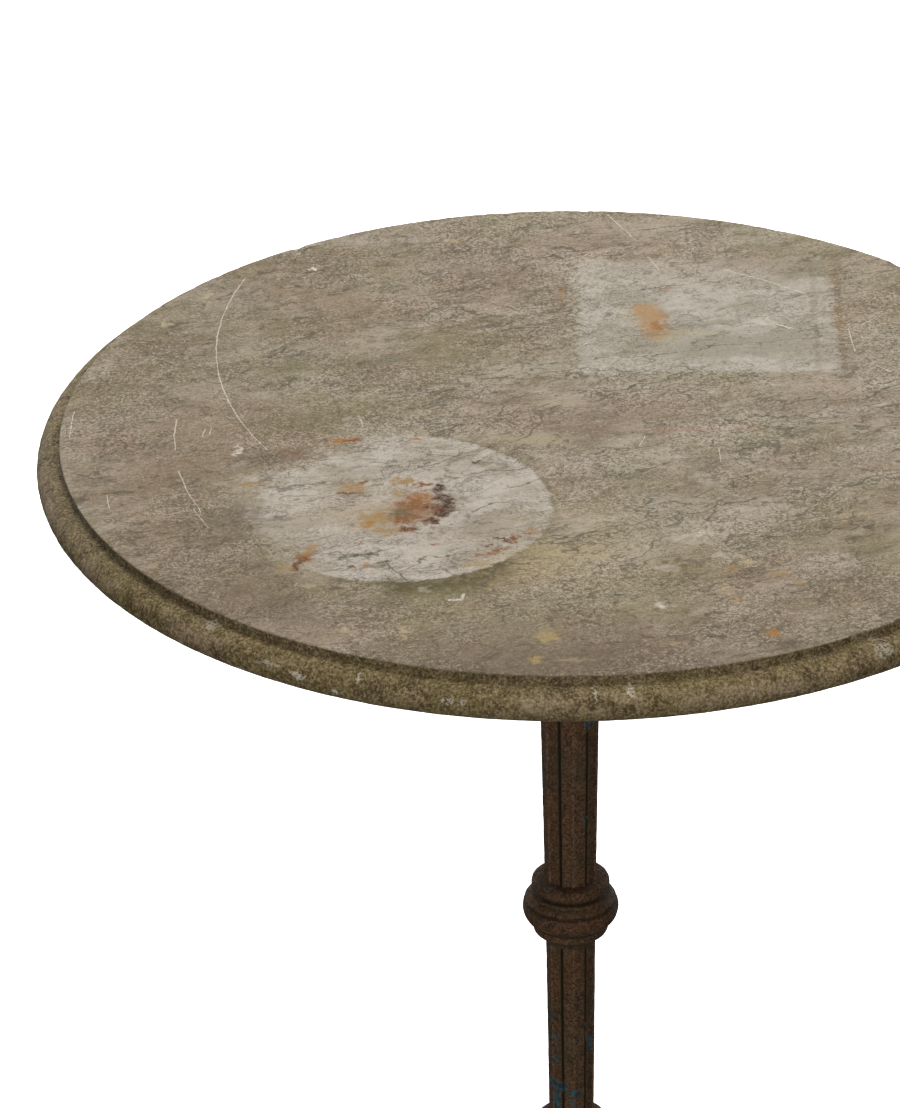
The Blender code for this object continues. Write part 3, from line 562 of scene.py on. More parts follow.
    thin_place = g.flattened(g.warped(place, 120, 0.0016))
    arc_gap = abs(g.vector("DISTANCE", thin_place, (*ARC_CENTRE, 0)) - ARC_RADIUS)
    scratch = arc_gap.step(0.00055, 0.0001) * x.step(-0.155, -0.17)
    scratch = scratch * y.step(-0.0256, -0.025) * y.step(0.2, 0.19)
    scratch = scratch.higher(g.strokes(g.after(thin_place), SCRATCHES))
    scratch = scratch * (0.45 + grit.step(0.56, 0.46) * 0.55)
    g.coat(scratch * 0.82, 206, 198, 184)

    face = z.step(TABLE_TOP - 0.0016, TABLE_TOP - 0.0003)
    face_colour = g.colour
    edge_height = stone_edge(g, crisp, x, z)
    g.coat(face, face_colour)
    face_height = grit * 0.45 + coarse * 0.3 + blotch * 0.25
    height = face_height * face + edge_height * (1.0 - face)
    roughness = grit.step(0.2, 0.8) * 0.14 + 0.74
    return g.finish(roughness, height, 0.0008, gloss=0.25)


# Veins: noise scale, line width, strength.
VEINS = ((17.0, 0.008, 0.7), (36.0, 0.0125, 0.74), (80.0, 0.026, 0.62))

# Chips on the edge: direction in degrees, height above the slab's foot, half width along the rim,
# half height, strength.
CHIP_RADIUS = 0.9975 * RIM_RADIUS
EDGE_CHIPS = (
    (-119.0, 0.0128, 0.006, 0.0016, 0.8), (-122.5, 0.0142, 0.01, 0.0012, 0.45),
    (-118.6, 0.0118, 0.0034, 0.0022, 0.8), (-102.4, 0.0132, 0.0045, 0.002, 0.65),
    (-100.8, 0.0132, 0.0034, 0.0016, 0.5), (-114.6, 0.0075, 0.0026, 0.002, 0.8),
    (-134.5, 0.006, 0.0045, 0.0022, 0.45), (-126.0, 0.0055, 0.005, 0.0022, 0.45),
    (-83.7, 0.018, 0.003, 0.002, 0.6), (-71.0, 0.014, 0.0008, 0.005, 0.6),
    (-87.4, 0.018, 0.0007, 0.003, 0.6), (-55.5, 0.0165, 0.007, 0.004, 0.4),
    (-131.5, 0.0192, 0.005, 0.0016, 0.45), (-112.2, 0.017, 0.0018, 0.0022, 0.6),
    (-67.0, 0.0095, 0.0045, 0.0016, 0.3),
)


def stone_edge(g, crisp, x, z):
    """Colour the slab's edge and underside, and give the edge's bump height."""
    place = g.place
    speckle = g.noise(place, 600, 5, 0.8)
    clumps = g.noise(g.warped(place, 90, 0.01), 120, 5, 0.72)
    drift = g.noise(place, 18, 3)
    g.colour = g.blend(clumps.step(0.4, 0.6), srgb(80, 66, 40), srgb(134, 116, 84))
    g.coat(drift.step(0.42, 0.58) * 0.45, 104, 91, 48)
    greening = g.noise(place, 60, 5, 0.7).step(0.46, 0.58)
    g.coat(greening * 0.6, 94, 82, 32)

    tan_where = g.noise(place, 30, 4, 0.6).step(0.46, 0.58)
    above_foot = z - STONE_FOOT
    nose = above_foot.step(0.006, 0.011) * above_foot.step(0.019, 0.015)
    g.coat(nose * tan_where * 0.55, 148, 128, 104)
    in_step = z.step(TABLE_TOP - 0.0068, TABLE_TOP - 0.004)
    # Painted shade: the recessed step below the face's arris is darkened, more on the left, which is
    # turned away from the light.
    step_shade = x.step(-0.08, -0.24) * 0.4 + 0.22
    g.coat(in_step * step_shade, 76, 64, 44)
    streaks = g.noise(g.placed(place, size=(1, 1, 6)), 260, 4, 0.7).step(0.48, 0.58)
    g.coat(in_step * streaks * 0.36, 44, 38, 26)
    lower = above_foot.step(0.0085, 0.002)
    g.coat(lower * 0.45, 84, 68, 44)

    g.coat(speckle.step(0.5, 0.6) * 0.72, 48, 39, 24)
    g.coat(speckle.step(0.49, 0.4) * 0.5, 176, 156, 122)
    hairs = abs(g.noise(crisp, 190, 3, 0.6, 1.8) - 0.5).step(0.026, 0.004)
    hair_where = g.noise(place, 60, 4, 0.6).step(0.5, 0.6)
    g.coat(hairs * hair_where * 0.42, 176, 164, 138)

    chips = 0.0
    for direction, height, half_width, half_height, strength in EDGE_CHIPS:
        angle = radians(direction)
        middle = (CHIP_RADIUS * cos(angle), CHIP_RADIUS * sin(angle), STONE_FOOT + height)
        local = g.vector("SUBTRACT", crisp, middle)
        along = g.vector("DOT_PRODUCT", local, (-sin(angle) / half_width, cos(angle) / half_width, 0))
        rise = g.vector("DOT_PRODUCT", local, (0, 0, 1 / half_height))
        chip = (along * along + rise * rise).step(1.0, 0.15) * strength
        chips = chip.higher(chips)
    ragged = speckle.step(0.57, 0.47)
    on_edge = above_foot.step(0.0005, 0.0012)
    g.coat(chips * ragged * on_edge, 200, 190, 174)

    underside = above_foot.step(0.0008, 0.0001)
    sawn = g.noise(g.placed(place, size=(1, 0.05, 1)), 160, 3)
    raw = g.blend(clumps.step(0.3, 0.7), srgb(112, 104, 88), srgb(146, 137, 120))
    raw = g.blend(sawn.step(0.4, 0.7) * 0.3, raw, srgb(98, 92, 78))
    g.coat(underside, raw)
    return speckle + clumps * 1.1


# ---- iron, lead and steel


def rusty_iron(node, order):
    """Brown-rusted cast iron with dirt and painted shade in its hollows and quirks, a painted highlight on
    the shafts' arrises, and remnants of blue paint.
    """
    g = new_material(f"{node}_iron")
    paint = PAINT_LEFT[node]
    seed = 0.37 * order
    shifted = g.vector("ADD", g.place, (seed, seed, seed))
    grain = g.noise(shifted, 720, 4, 0.75)
    clumps = g.noise(g.warped(shifted, 80, 0.01), 190, 5, 0.7)
    drift = g.noise(shifted, 28, 3)
    g.colour = g.blend(clumps.step(0.38, 0.62), IRON_DARK, IRON_LIGHT)
    g.coat(drift.step(0.44, 0.58) * 0.4, IRON_WARM)
    g.coat(grain.step(0.5, 0.6) * 0.6, IRON_PIT)
    g.coat(grain.step(0.48, 0.4) * 0.42, IRON_GRAIN)
    green = g.noise(shifted, 60, 4).step(0.5, 0.6)
    g.coat(green * 0.3, IRON_DIRT)

    x, y, z = g.parts(g.place)
    if node in ("upper_shaft", "lower_shaft"):
        turn = g.math("ARCTAN2", y, x) - (ARRIS_ANGLE - radians(30))
        wave = (turn * 6.0).cosine()
        # Dirt and painted shade towards each quirk: a dirty band, then a near-black line in the quirk
        # itself.
        g.coat(wave.step(0.62, 0.96) * 0.4, IRON_DIRT)
        g.coat(wave.step(0.9, 0.99) * 0.85, IRON_GRIME_AND_SHADE)
        # Painted highlight: pale speckles along each arris.
        arris_highlight = wave.step(-0.9, -0.995) * grain.step(0.56, 0.46)
        g.coat(arris_highlight * 0.4, IRON_GRAIN)
    for height in GROOVES.get(node, ()):
        # Dirt and painted shade: a dark line along each hollow.
        hollow_shade = abs(z + (clumps - 0.5) * 0.004 - height).step(0.0018, 0.0004)
        g.coat(hollow_shade * 0.55, IRON_GRIME_AND_SHADE)

    flakes = g.noise(g.warped(shifted, 160, 0.006), 62, 4, 0.55)
    edge = 0.72 - paint * 0.42
    if node in PAINT_MARKS:
        facing = g.warped(g.node("CombineXYZ", {0: x, 1: z}), 150, 0.006)
        flakes = flakes + g.patches(facing, PAINT_MARKS[node], 0.0) * 0.34
    painted = flakes.step(edge, edge + 0.012)
    halo = flakes.step(edge - 0.04, edge) * (1.0 - painted)
    coat = g.blend(g.noise(shifted, 300, 3).step(0.4, 0.6), PAINT_DARK, PAINT_LIGHT)
    g.coat(halo * 0.45, PAINT_EDGE)
    g.coat(painted * 0.92, coat)
    height = grain * -0.8 + clumps * 0.8 + painted * 0.35
    roughness = grain.step(0.4, 0.6) * 0.12 + 0.72 + painted * -0.15
    return g.finish(roughness, height, 0.00055, gloss=0.12)


IRON_DARK = srgb(62, 46, 34)
IRON_LIGHT = srgb(86, 64, 46)
IRON_WARM = srgb(90, 58, 36)
IRON_PIT = srgb(30, 21, 14)
IRON_GRAIN = srgb(124, 98, 72)
IRON_DIRT = srgb(62, 58, 38)
# Near-black of dirt and painted shade in the quirks and hollows.
IRON_GRIME_AND_SHADE = srgb(20, 14, 8)
PAINT_DARK = srgb(34, 52, 58)
PAINT_LIGHT = srgb(62, 84, 88)
PAINT_EDGE = srgb(84, 92, 84)


def steel_material():
    """Fasteners: darker, redder rust than the castings, with bare worn patches."""
    g = new_material("rusted_steel")
    fine = g.noise(g.place, 900, 4, 0.7)
    clumps = g.noise(g.place, 240, 4, 0.6)
    g.colour = g.blend(clumps.step(0.3, 0.7), srgb(66, 42, 30), srgb(112, 72, 46))
    g.coat(fine.step(0.54, 0.72) * 0.6, 42, 30, 24)
    bare = g.noise(g.place, 130, 3).step(0.6, 0.68)
    g.coat(bare * 0.7, 120, 114, 106)
    height = fine * 0.6 + clumps * 0.8
    return g.finish(bare * -0.25 + 0.8, height, 0.0002, bare * 0.6)


def lead_material():
    """Dull grey oxidised lead."""
    g = new_material("dull_lead")
    clumps = g.noise(g.place, 260, 4, 0.6)
    g.colour = g.blend(clumps.step(0.3, 0.7), srgb(96, 98, 100), srgb(140, 142, 143))
    return g.finish(0.62, clumps, 0.0002, 0.55)


# ---- mesh helpers


def add_object(name, data):
    made = bpy.data.objects.new(name, data)
    bpy.context.scene.collection.objects.link(made)
    return made


def take_over(name, mesh, material, smooth_angle, node):
    """Visible piece that stands for a CAD node, moves with the table and takes a slot's finish."""
    piece = add_object(name, mesh)
    mesh.materials.append(material)
    mesh.shade_smooth()
    mesh.set_sharp_from_angle(angle=radians(smooth_angle))
    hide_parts(node)
    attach(piece, "root")


def as_mesh(shape, mesh=None):
    """Mesh of a bmesh, which is freed."""
    mesh = mesh or bpy.data.meshes.new("shape")
    shape.to_mesh(mesh)
    shape.free()
    return mesh


def lathe(profile, angles, radius_change=None):
    """Closed turned mesh. profile is (radius, height) from the top centre to the bottom centre."""
    shape = bmesh.new()
    rings = []
    for radius, height in profile:
        if radius == 0.0:
            rings.append([shape.verts.new((0, 0, height))])
            continue
        ring = []
        for angle in angles:
            r, h = radius_change(radius, height, angle) if radius_change else (radius, height)
            ring.append(shape.verts.new((r * cos(angle), r * sin(angle), h)))
        rings.append(ring)
    for upper, lower in zip(rings[:-1], rings[1:]):
        for index in range(len(angles)):
            after = (index + 1) % len(angles)
            if len(upper) == 1:
                shape.faces.new((upper[0], lower[index], lower[after]))
            elif len(lower) == 1:
                shape.faces.new((upper[index], lower[0], upper[after]))
            else:
                shape.faces.new((upper[index], lower[index], lower[after], upper[after]))
    bmesh.ops.recalc_face_normals(shape, faces=shape.faces)
    return as_mesh(shape)


def arc(centre_radius, centre_height, across, up, start, end, steps):
    """Points along part of an ellipse in the profile plane, between two angles in degrees."""
    points = []
    for step in range(steps + 1):
        angle = radians(start + (end - start) * step / steps)
        points.append((centre_radius + across * cos(angle), centre_height + up * sin(angle)))
    return points


def even_angles(count):
    return [2 * pi * index / count for index in range(count)]


def angle_gap(angle, direction):
    """Signed angle between two directions, at most half a turn."""
    return (angle - direction + pi) % (2 * pi) - pi


def fractal(point, scale):
    """Signed fractal noise of about -1 to 1."""
    return noise.fractal(point * scale, 1.0, 2.0, 3)


def turned_casting(node, profile, angles, smooth_angle, depth, scale, seed, radius_of=None):
    """Turned casting with a slightly uneven skin, in place of the CAD solid."""

    def skin(radius, height, angle):
        r = radius_of(radius, height, angle) if radius_of else radius
        point = Vector((r * cos(angle) + seed, r * sin(angle), height))
        return r + depth * fractal(point, scale), height

    mesh = lathe(profile, angles, skin)
    take_over(f"{node}_casting", mesh, IRON[node], smooth_angle, node)


def ends(node):
    """Heights of a CAD node's top and foot."""
    low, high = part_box(node)
    return high.z, low.z


# ---- stone slab

# Knocks in the face's arris: direction and half width in degrees, depth.
EDGE_NICKS = (
    (-118, 0.9, 0.0007), (-131, 1.2, 0.0008), (-141, 0.8, 0.0005), (-97, 0.7, 0.0005),
    (-76, 1.0, 0.0006), (-58, 1.3, 0.0008), (-152, 0.6, 0.0005), (-30, 1.4, 0.0008),
    (12, 0.9, 0.0007), (47, 1.6, 0.001), (88, 0.8, 0.0006), (124, 1.2, 0.0008), (163, 0.9, 0.0006),
)


def edge_loss(angle, height):
    """How far the arris of the face has been knocked back at this place."""
    loss = 0.0
    near_arris = max(0.0, 1.0 - (TABLE_TOP - height) / 0.0035)
    for direction, half_width, depth in EDGE_NICKS:
        gap = abs(angle_gap(angle, radians(direction))) / radians(half_width)
        if gap < 1.0:
            loss += depth * (1.0 - gap * gap) ** 2
    point = Vector((cos(angle) * RIM_RADIUS, sin(angle) * RIM_RADIUS, height))
    loss += max(0.0, fractal(point, 150.0)) * 0.00045
    return loss * near_arris


def build_stone():
    """The slab: flat face, stepped and rounded edge with knocked arrises, plain underside."""
    nose_up = (TABLE_TOP - STONE_FOOT - STEP_DEPTH) / 2
    rings = (0.02, 0.06, 0.12, 0.18, 0.22, 0.25, 0.27, 0.28, FACE_RADIUS - 0.0035)
    profile = [(radius, TABLE_TOP) for radius in (0.0, *rings, FACE_RADIUS - 0.002)]
    profile += [(FACE_RADIUS - 0.001, TABLE_TOP - 0.00005)]
    profile += arc(FACE_RADIUS - 0.0008, TABLE_TOP - 0.0008, 0.0008, 0.0008, 80, 0, 4)
    step = (0.28, 0.42, 0.58, 0.74, 0.88)
    profile += [(FACE_RADIUS, TABLE_TOP - STEP_DEPTH * share) for share in step]
    profile += [(FACE_RADIUS + 0.0002, TABLE_TOP - STEP_DEPTH)]
    profile += [(FACE_RADIUS + 0.001, TABLE_TOP - STEP_DEPTH - 0.0003)]
    profile += arc(RIM_RADIUS - NOSE_REACH, STONE_FOOT + nose_up, NOSE_REACH, nose_up, 78, -90, 34)
    profile += [(radius, STONE_FOOT) for radius in (0.284, 0.27, 0.22, 0.15, 0.08, 0.03, 0.0)]

    def weathered(radius, height, angle):
        if radius < FACE_RADIUS - 0.004:
            return radius, height
        point = Vector((radius * cos(angle), radius * sin(angle), height))
        depth = TABLE_TOP - height
        r = radius - edge_loss(angle, height)
        h = height
        if depth < 0.0012:
            h -= edge_loss(angle, height) * 0.55
        if depth > 0.0006:
            r += 0.00016 * fractal(point, 420.0) + 0.00022 * fractal(point, 110.0) - 0.0003
        return r, h

    mesh = lathe(profile, even_angles(900), weathered)
    take_over("stone_slab", mesh, stone_material(), 50, "stone_top")


# ---- turned castings and shafts

ARRIS_ANGLE = radians(38)
SECTOR = radians(60)
QUIRK_DEPTH = 0.0013
SECTOR_STEPS = (0.0, 1.2, 2.6, 6, 12, 18, 22, 25.6, 28.2, 30.0)
SPIGOT_RADIUS = 0.0105
SPIGOT_LENGTH = 0.008
CHAMFER = 0.0008
SHAFT_ROWS = 60


def shaft_radius(corner_radius, height, angle):
    """Radius of the twelve-sided section, with a soft arris and a V-shaped quirk by turns."""
    if corner_radius <= SPIGOT_RADIUS:
        return corner_radius
    turn = (angle - ARRIS_ANGLE) % SECTOR
    from_arris = min(turn, SECTOR - turn)
    facet = corner_radius * cos(radians(15)) / cos(from_arris - radians(15))
    bead = 0.00022 * max(0.0, 1.0 - from_arris / radians(2.0))
    groove = QUIRK_DEPTH * max(0.0, 1.0 - (radians(30) - from_arris) / radians(4.4))
    return facet + bead - groove


def shaft_angles():
    """Directions that fall on every arris and quirk, and between them."""
    angles = []
    for sector in range(6):
        start = ARRIS_ANGLE + sector * SECTOR
        angles += [start + radians(step) for step in SECTOR_STEPS]
        angles += [start + radians(60 - step) for step in SECTOR_STEPS[-2:0:-1]]
    return angles


def build_shaft(node, foot_radius, head_radius, seed):
    """Tapered shaft with its spigots."""
    top, low = ends(node)
    foot, head = low + SPIGOT_LENGTH, top - SPIGOT_LENGTH
    neck = SPIGOT_RADIUS
    profile = [(0.0, top), (neck - CHAMFER, top), (neck, top - CHAMFER), (neck, head)]
    profile += [(head_radius - CHAMFER, head + 0.00001)]
    for row in range(SHAFT_ROWS + 1):
        share = row / SHAFT_ROWS
        radius = head_radius + (foot_radius - head_radius) * share
        profile.append((radius, head + (foot - head) * share))
    profile += [(foot_radius - CHAMFER, foot - 0.00001), (neck, foot), (neck, low + CHAMFER)]
    profile += [(neck - CHAMFER, low), (0.0, low)]
    turned_casting(node, profile, shaft_angles(), 38, 0.00014, 240.0, seed, shaft_radius)


def build_collar():
    """Knob between the shafts."""
    top, foot = ends("shaft_collar")
    profile = [(0.0, top), (0.0188, top), *arc(0.0196, 0.4242, 0.0033, 0.0036, 74, -78, 14)]
    profile += [(0.0204, 0.4199), (0.0212, 0.4196), (0.0226, 0.4192)]
    profile += arc(0.021, 0.4086, 0.007, 0.009, 72, 34, 7)
    profile += [(0.0266, 0.4134), (0.0262, 0.4128), (0.0264, 0.4122), (0.0271, 0.4118)]
    profile += arc(0.0206, 0.4078, 0.0074, 0.0092, 22, -60, 16)
    profile += [(0.0234, 0.3993), (0.0226, 0.3984), (0.0222, 0.3976)]
    profile += arc(0.0172, 0.3946, 0.0048, 0.0036, 50, -62, 10)
    profile += [(0.0176, 0.3902), (0.0164, 0.3885), (0.0155, foot + 0.0008), (0.0148, foot), (0.0, foot)]
    turned_casting("shaft_collar", profile, even_angles(160), 42, 0.00022, 170.0, 0.3)


def build_base_ring():
    """Double ring under the lower shaft."""
    top, foot = ends("base_ring")
    profile = [(0.0, top), (0.015, top), *arc(0.0166, 0.2588, 0.0045, 0.0043, 82, -78, 14)]
    profile += [(0.018, 0.2541), (0.0188, 0.2535), (0.0204, 0.2531)]
    profile += arc(0.02, 0.247, 0.0053, 0.006, 80, -76, 16)
    profile += [(0.019, foot + 0.0004), (0.0184, foot), (0.0, foot)]
    turned_casting("base_ring", profile, even_angles(160), 42, 0.00018, 190.0, 0.7)


LEG_DIRECTIONS = [radians(-90), radians(30), radians(150)]
FLAT_DISTANCE = 0.021
FLAT_FOOT = 0.118
FLAT_TOP = 0.19


def build_hub():
    """Vase-shaped hub with three flats, a beaded waist and a stepped foot."""
    top, foot = ends("leg_hub")
    profile = [(0.0, top), (0.0166, top), (0.0172, top - 0.0006), (0.0172, top - 0.0022)]
    profile += [(0.0165, top - 0.0032)] + arc(0.03, 0.218, 0.0148, 0.018, 146, 212, 18)
    profile += arc(0.015, 0.194, 0.009, 0.013, 58, 0, 14)
    profile += [(0.024, 0.194 - step * 0.0035) for step in range(1, 22)]
    profile += [(0.024, 0.1166), (0.0232, 0.1142), (0.0228, 0.113)]
    profile += arc(0.0215, foot + 0.0058, 0.003, 0.0044, 74, -76, 14)
    profile += [(0.0212, foot + 0.0006), (0.0206, foot), (0.0, foot)]

    def faced(radius, height, angle):
        if radius < FLAT_DISTANCE or not FLAT_FOOT - 0.0006 < height < FLAT_TOP + 0.0006:
            return radius
        for direction in LEG_DIRECTIONS:
            gap = angle_gap(angle, direction)
            if abs(gap) < radians(30):
                radius = min(radius, FLAT_DISTANCE / cos(gap))
        return radius

    turned_casting("leg_hub", profile, even_angles(240), 38, 0.0001, 230.0, 1.1, faced)


def build_finial():
    """Drop under the hub, with its cup left open for the rod's nut."""
    top, foot = ends("bottom_finial")
    profile = [(0.0, top - 0.014), (0.0124, top - 0.014), (0.0124, top - 0.0006), (0.0128, top)]
    profile += [(0.019, top), (0.0196, top - 0.0002)]
    profile += arc(0.0188, top - 0.004, 0.0032, 0.0034, 74, -74, 14)
    profile += [(0.019, top - 0.0082), (0.0189, top - 0.0092), (0.0182, top - 0.012)]
    profile += [(0.0168, top - 0.0155), (0.0142, top - 0.0188), (0.0118, top - 0.0218)]
    profile += [(0.0102, top - 0.024), (0.0098, top - 0.0256)]
    profile += arc(0.0, foot + 0.0125, 0.0125, 0.0125, 40, -84, 20) + [(0.0, foot)]
    turned_casting("bottom_finial", profile, even_angles(144), 42, 0.00014, 210.0, 1.7)


# ---- fused castings: legs and spider

VOXEL = 0.0011
SKIN_DEPTH = 0.00014


def sweep(path, half_depth, half_width, sides=20, ridge=0.0):
    """Closed bar with an oval section along points in the XZ plane; ridge lifts its outer middle."""
    shape = bmesh.new()
    rings = []
    last = len(path) - 1
    for index, point in enumerate(path):
        along = (path[min(index + 1, last)] - path[max(index - 1, 0)]).normalized()
        up = Vector((-along.z, 0, along.x))
        share = index / last
        ring = []
        for turn in even_angles(sides):
            lift = 1.0 + ridge * max(0.0, sin(turn)) ** 6
            spot = point + up * (half_depth(share) * sin(turn) * lift)
            ring.append(shape.verts.new(spot + Vector((0, half_width(share) * cos(turn), 0))))
        rings.append(ring)
    for first, second in zip(rings[:-1], rings[1:]):
        for side in range(sides):
            after = (side + 1) % sides
            shape.faces.new((first[side], second[side], second[after], first[after]))
    shape.faces.new(rings[0])
    shape.faces.new(rings[-1])
    bmesh.ops.recalc_face_normals(shape, faces=shape.faces)
    return as_mesh(shape)


def box_mesh(low, high, bevel=0.0012):
    """Box between two corners with rounded edges."""
    shape = bmesh.new()
    size = Vector(high) - Vector(low)
    middle = (Vector(low) + Vector(high)) / 2
    matrix = Matrix.Translation(middle) @ Matrix.Diagonal((*size, 1.0))
    bmesh.ops.create_cube(shape, size=1.0, matrix=matrix)
    bmesh.ops.bevel(shape, geom=shape.edges[:], offset=bevel, segments=3, profile=0.5, affect="EDGES")
    return as_mesh(shape)


def fused_casting(node, meshes, low=0.0, high=1.0):
    """Overlapping shapes melted into one casting with small fillets and an uneven skin, kept
    between two heights."""
    shape = bmesh.new()
    for mesh in meshes:
        shape.from_mesh(mesh)
        bpy.data.meshes.remove(mesh)
    joined = as_mesh(shape)
    made = add_object(node, joined)
    remesh = made.modifiers.new("melt", "REMESH")
    remesh.mode = "VOXEL"
    remesh.voxel_size = VOXEL
    smoothing = made.modifiers.new("fillet", "SMOOTH")
    smoothing.factor = 0.5
    smoothing.iterations = 4
    graph = bpy.context.evaluated_depsgraph_get()
    melted = bpy.data.meshes.new_from_object(made.evaluated_get(graph))
    bpy.data.objects.remove(made, do_unlink=True)
    bpy.data.meshes.remove(joined)
    outward = [vertex.normal.copy() for vertex in melted.vertices]
    for vertex, normal in zip(melted.vertices, outward):
        vertex.co += normal * (SKIN_DEPTH * fractal(vertex.co, 240.0))
    take_over(f"{node}_casting", melted, IRON[node], 60, node)
    for vertex in melted.vertices:
        vertex.co.z = min(max(vertex.co.z, low), high)


# Bezier pieces of the leg's spine, across and up.
LEG_SPINE = (
    ((0.025, 0.154), (0.042, 0.154), (0.068, 0.172), (0.098, 0.161)),
    ((0.098, 0.161), (0.133, 0.1482), (0.162, 0.098), (0.184, 0.058)),
    ((0.184, 0.058), (0.198, 0.032), (0.214, 0.014), (0.236, 0.01)),
)


def spine_points():
    points = []
    for piece in LEG_SPINE:
        run = interpolate_bezier(*[Vector((x, 0, z)) for x, z in piece], 30)
        points += run[1:] if points else run
    return points


def scroll_points():
    """Spiral under the leg's arch."""
    points = []
    for step in range(91):
        share = step / 90
        radius = 0.0385 - 0.03 * share**0.85
        angle = radians(62) - 2 * pi * 1.35 * share
        points.append(Vector((0.079 + radius * cos(angle), 0, 0.117 + radius * sin(angle))))
    return points


def scroll_eye(share):
    """Extra half width towards the middle of the scroll."""
    return 0.0026 * max(0.0, (share - 0.9) / 0.1)


def leg_meshes():
    """The shapes that make up one leg, lying along +X."""
    bar = sweep(
        spine_points(),
        lambda share: 0.0122 * (1.0 - 0.36 * share),
        lambda share: 0.007 * (1.0 - 0.3 * share),
        28,
        0.1,
    )
    scroll = sweep(
        scroll_points(),
        lambda share: 0.0054 - 0.0016 * share + scroll_eye(share),
        lambda share: 0.0046 - 0.001 * share + scroll_eye(share),
    )
    flange = box_mesh((0.0213, -0.0105, FLAT_FOOT + 0.0015), (0.0273, 0.0105, FLAT_TOP - 0.0015))
    ball = [(0.0, 0.0098), *arc(0.0, 0.0, 0.0098, 0.0098, 80, -80, 14), (0.0, -0.0098)]
    knuckle = lathe(ball, even_angles(28))
    knuckle.transform(Matrix.Translation((0.0985, 0, 0.156)) @ Matrix.Diagonal((1, 0.88, 1, 1)))
    foot_profile = [(0.0, 0.0152), (0.008, 0.015), (0.0125, 0.0122), (0.0158, 0.0092)]
    foot_profile += [(0.0176, 0.0066), (0.018, 0.004), (0.0178, 0.0012), (0.0168, 0.0001)]
    foot = lathe(foot_profile + [(0.0, 0.0001)], even_angles(48))
    foot.transform(Matrix.Translation((0.236, 0, 0)))
    return [bar, scroll, flange, knuckle, foot]


def build_legs():
    """Three legs from one pattern, each with its own skin."""
    for index, direction in enumerate(LEG_DIRECTIONS, start=1):
        shapes = leg_meshes()
        for shape in shapes:
            shape.transform(Matrix.Rotation(direction, 4, "Z"))
        fused_casting(f"leg_{index}", shapes)


def build_spider():
    """Four ribbed arms on a socketed boss, melted into one casting."""
    top, foot = ends("top_spider")
    plate = 0.0065
    inner, web_end = 0.015, 0.152
    boss_profile = [(0.0, top - 0.015), (0.0135, top - 0.015), (0.0135, top), (0.026, top)]
    boss_profile += [(0.0265, top - 0.0005), (0.0265, top - 0.02), (0.025, top - 0.025)]
    boss_profile += [(0.0238, top - 0.0275), *arc(0.023, foot + 0.004, 0.0034, 0.004, 62, -88, 10)]
    boss_profile += [(0.0108, foot), (0.0108, foot + 0.0083), (0.0, foot + 0.0083)]
    shapes = [lathe(boss_profile, even_angles(96))]
    pad_profile = [(0.0032, top), (0.0178, top), (0.0184, top - 0.0006), (0.0184, top - plate + 0.0006)]
    pad_profile += [(0.0178, top - plate), (0.0032, top - plate), (0.0032, top)]
    for index in range(4):
        flange = box_mesh((inner, -0.011, top - plate + 0.0006), (0.156, 0.011, top - 0.0004), 0.0015)
        web = box_mesh((inner, -0.0036, foot + 0.0045), (web_end, 0.0036, top - 0.003), 0.001)
        for vertex in web.vertices:
            share = (vertex.co.x - inner) / (web_end - inner)
            if vertex.co.z < top - 0.01:
                vertex.co.z += (top - plate - 0.001 - vertex.co.z) * share
        pad = lathe(pad_profile, even_angles(48))
        weld(pad)
        pad.transform(Matrix.Translation((0.165, 0, 0)))
        for shape in (flange, web, pad):
            shape.transform(Matrix.Rotation(radians(45 + 90 * index), 4, "Z"))
            shapes.append(shape)
    fused_casting("top_spider", shapes, foot, top)


def weld(mesh):
    """Merge the first and last ring of a closed turned profile."""
    shape = bmesh.new()
    shape.from_mesh(mesh)
    bmesh.ops.remove_doubles(shape, verts=shape.verts, dist=0.000001)
    bmesh.ops.recalc_face_normals(shape, faces=shape.faces)
    as_mesh(shape, mesh)


# ---- fasteners

WASHER_FACE = 0.0292
HEAD_GAP = 0.0003
HEAD_HEIGHT = 0.0053
HEAD_RADIUS = 0.0075
SHANK_RADIUS = 0.004
SHANK_END = 0.011
THREADS = 11
THREAD_PITCH = 0.00095


def bolt_mesh():
    """Bolt with a chamfered hexagon head, along +Z from the table's axis."""
    face = WASHER_FACE + HEAD_GAP
    crown = face + HEAD_HEIGHT
    profile = [(0.0, crown), (0.005, crown), (0.0062, crown - 0.0001)]
    profile += [(HEAD_RADIUS, crown - 0.0003), (HEAD_RADIUS, crown - 0.0022)]
    profile += [(HEAD_RADIUS, face + 0.0004), (0.0071, face), (SHANK_RADIUS, face)]
    for thread in range(THREADS):
        base = face - 0.008 - thread * THREAD_PITCH
        profile += [(SHANK_RADIUS, base), (SHANK_RADIUS - 0.0005, base - 0.0005)]
    profile += [(SHANK_RADIUS - 0.0006, SHANK_END), (0.0, SHANK_END)]

    def headed(radius, height, angle):
        if radius <= 0.005:
            return radius, height
        hexagon = HEAD_RADIUS * cos(radians(30)) / cos(angle % SECTOR - radians(30))
        r = hexagon * radius / HEAD_RADIUS
        if height > crown - 0.001:
            height = crown - max(0.0, r - 0.006) * 0.55
        return r, height

    return lathe(profile, even_angles(72), headed)


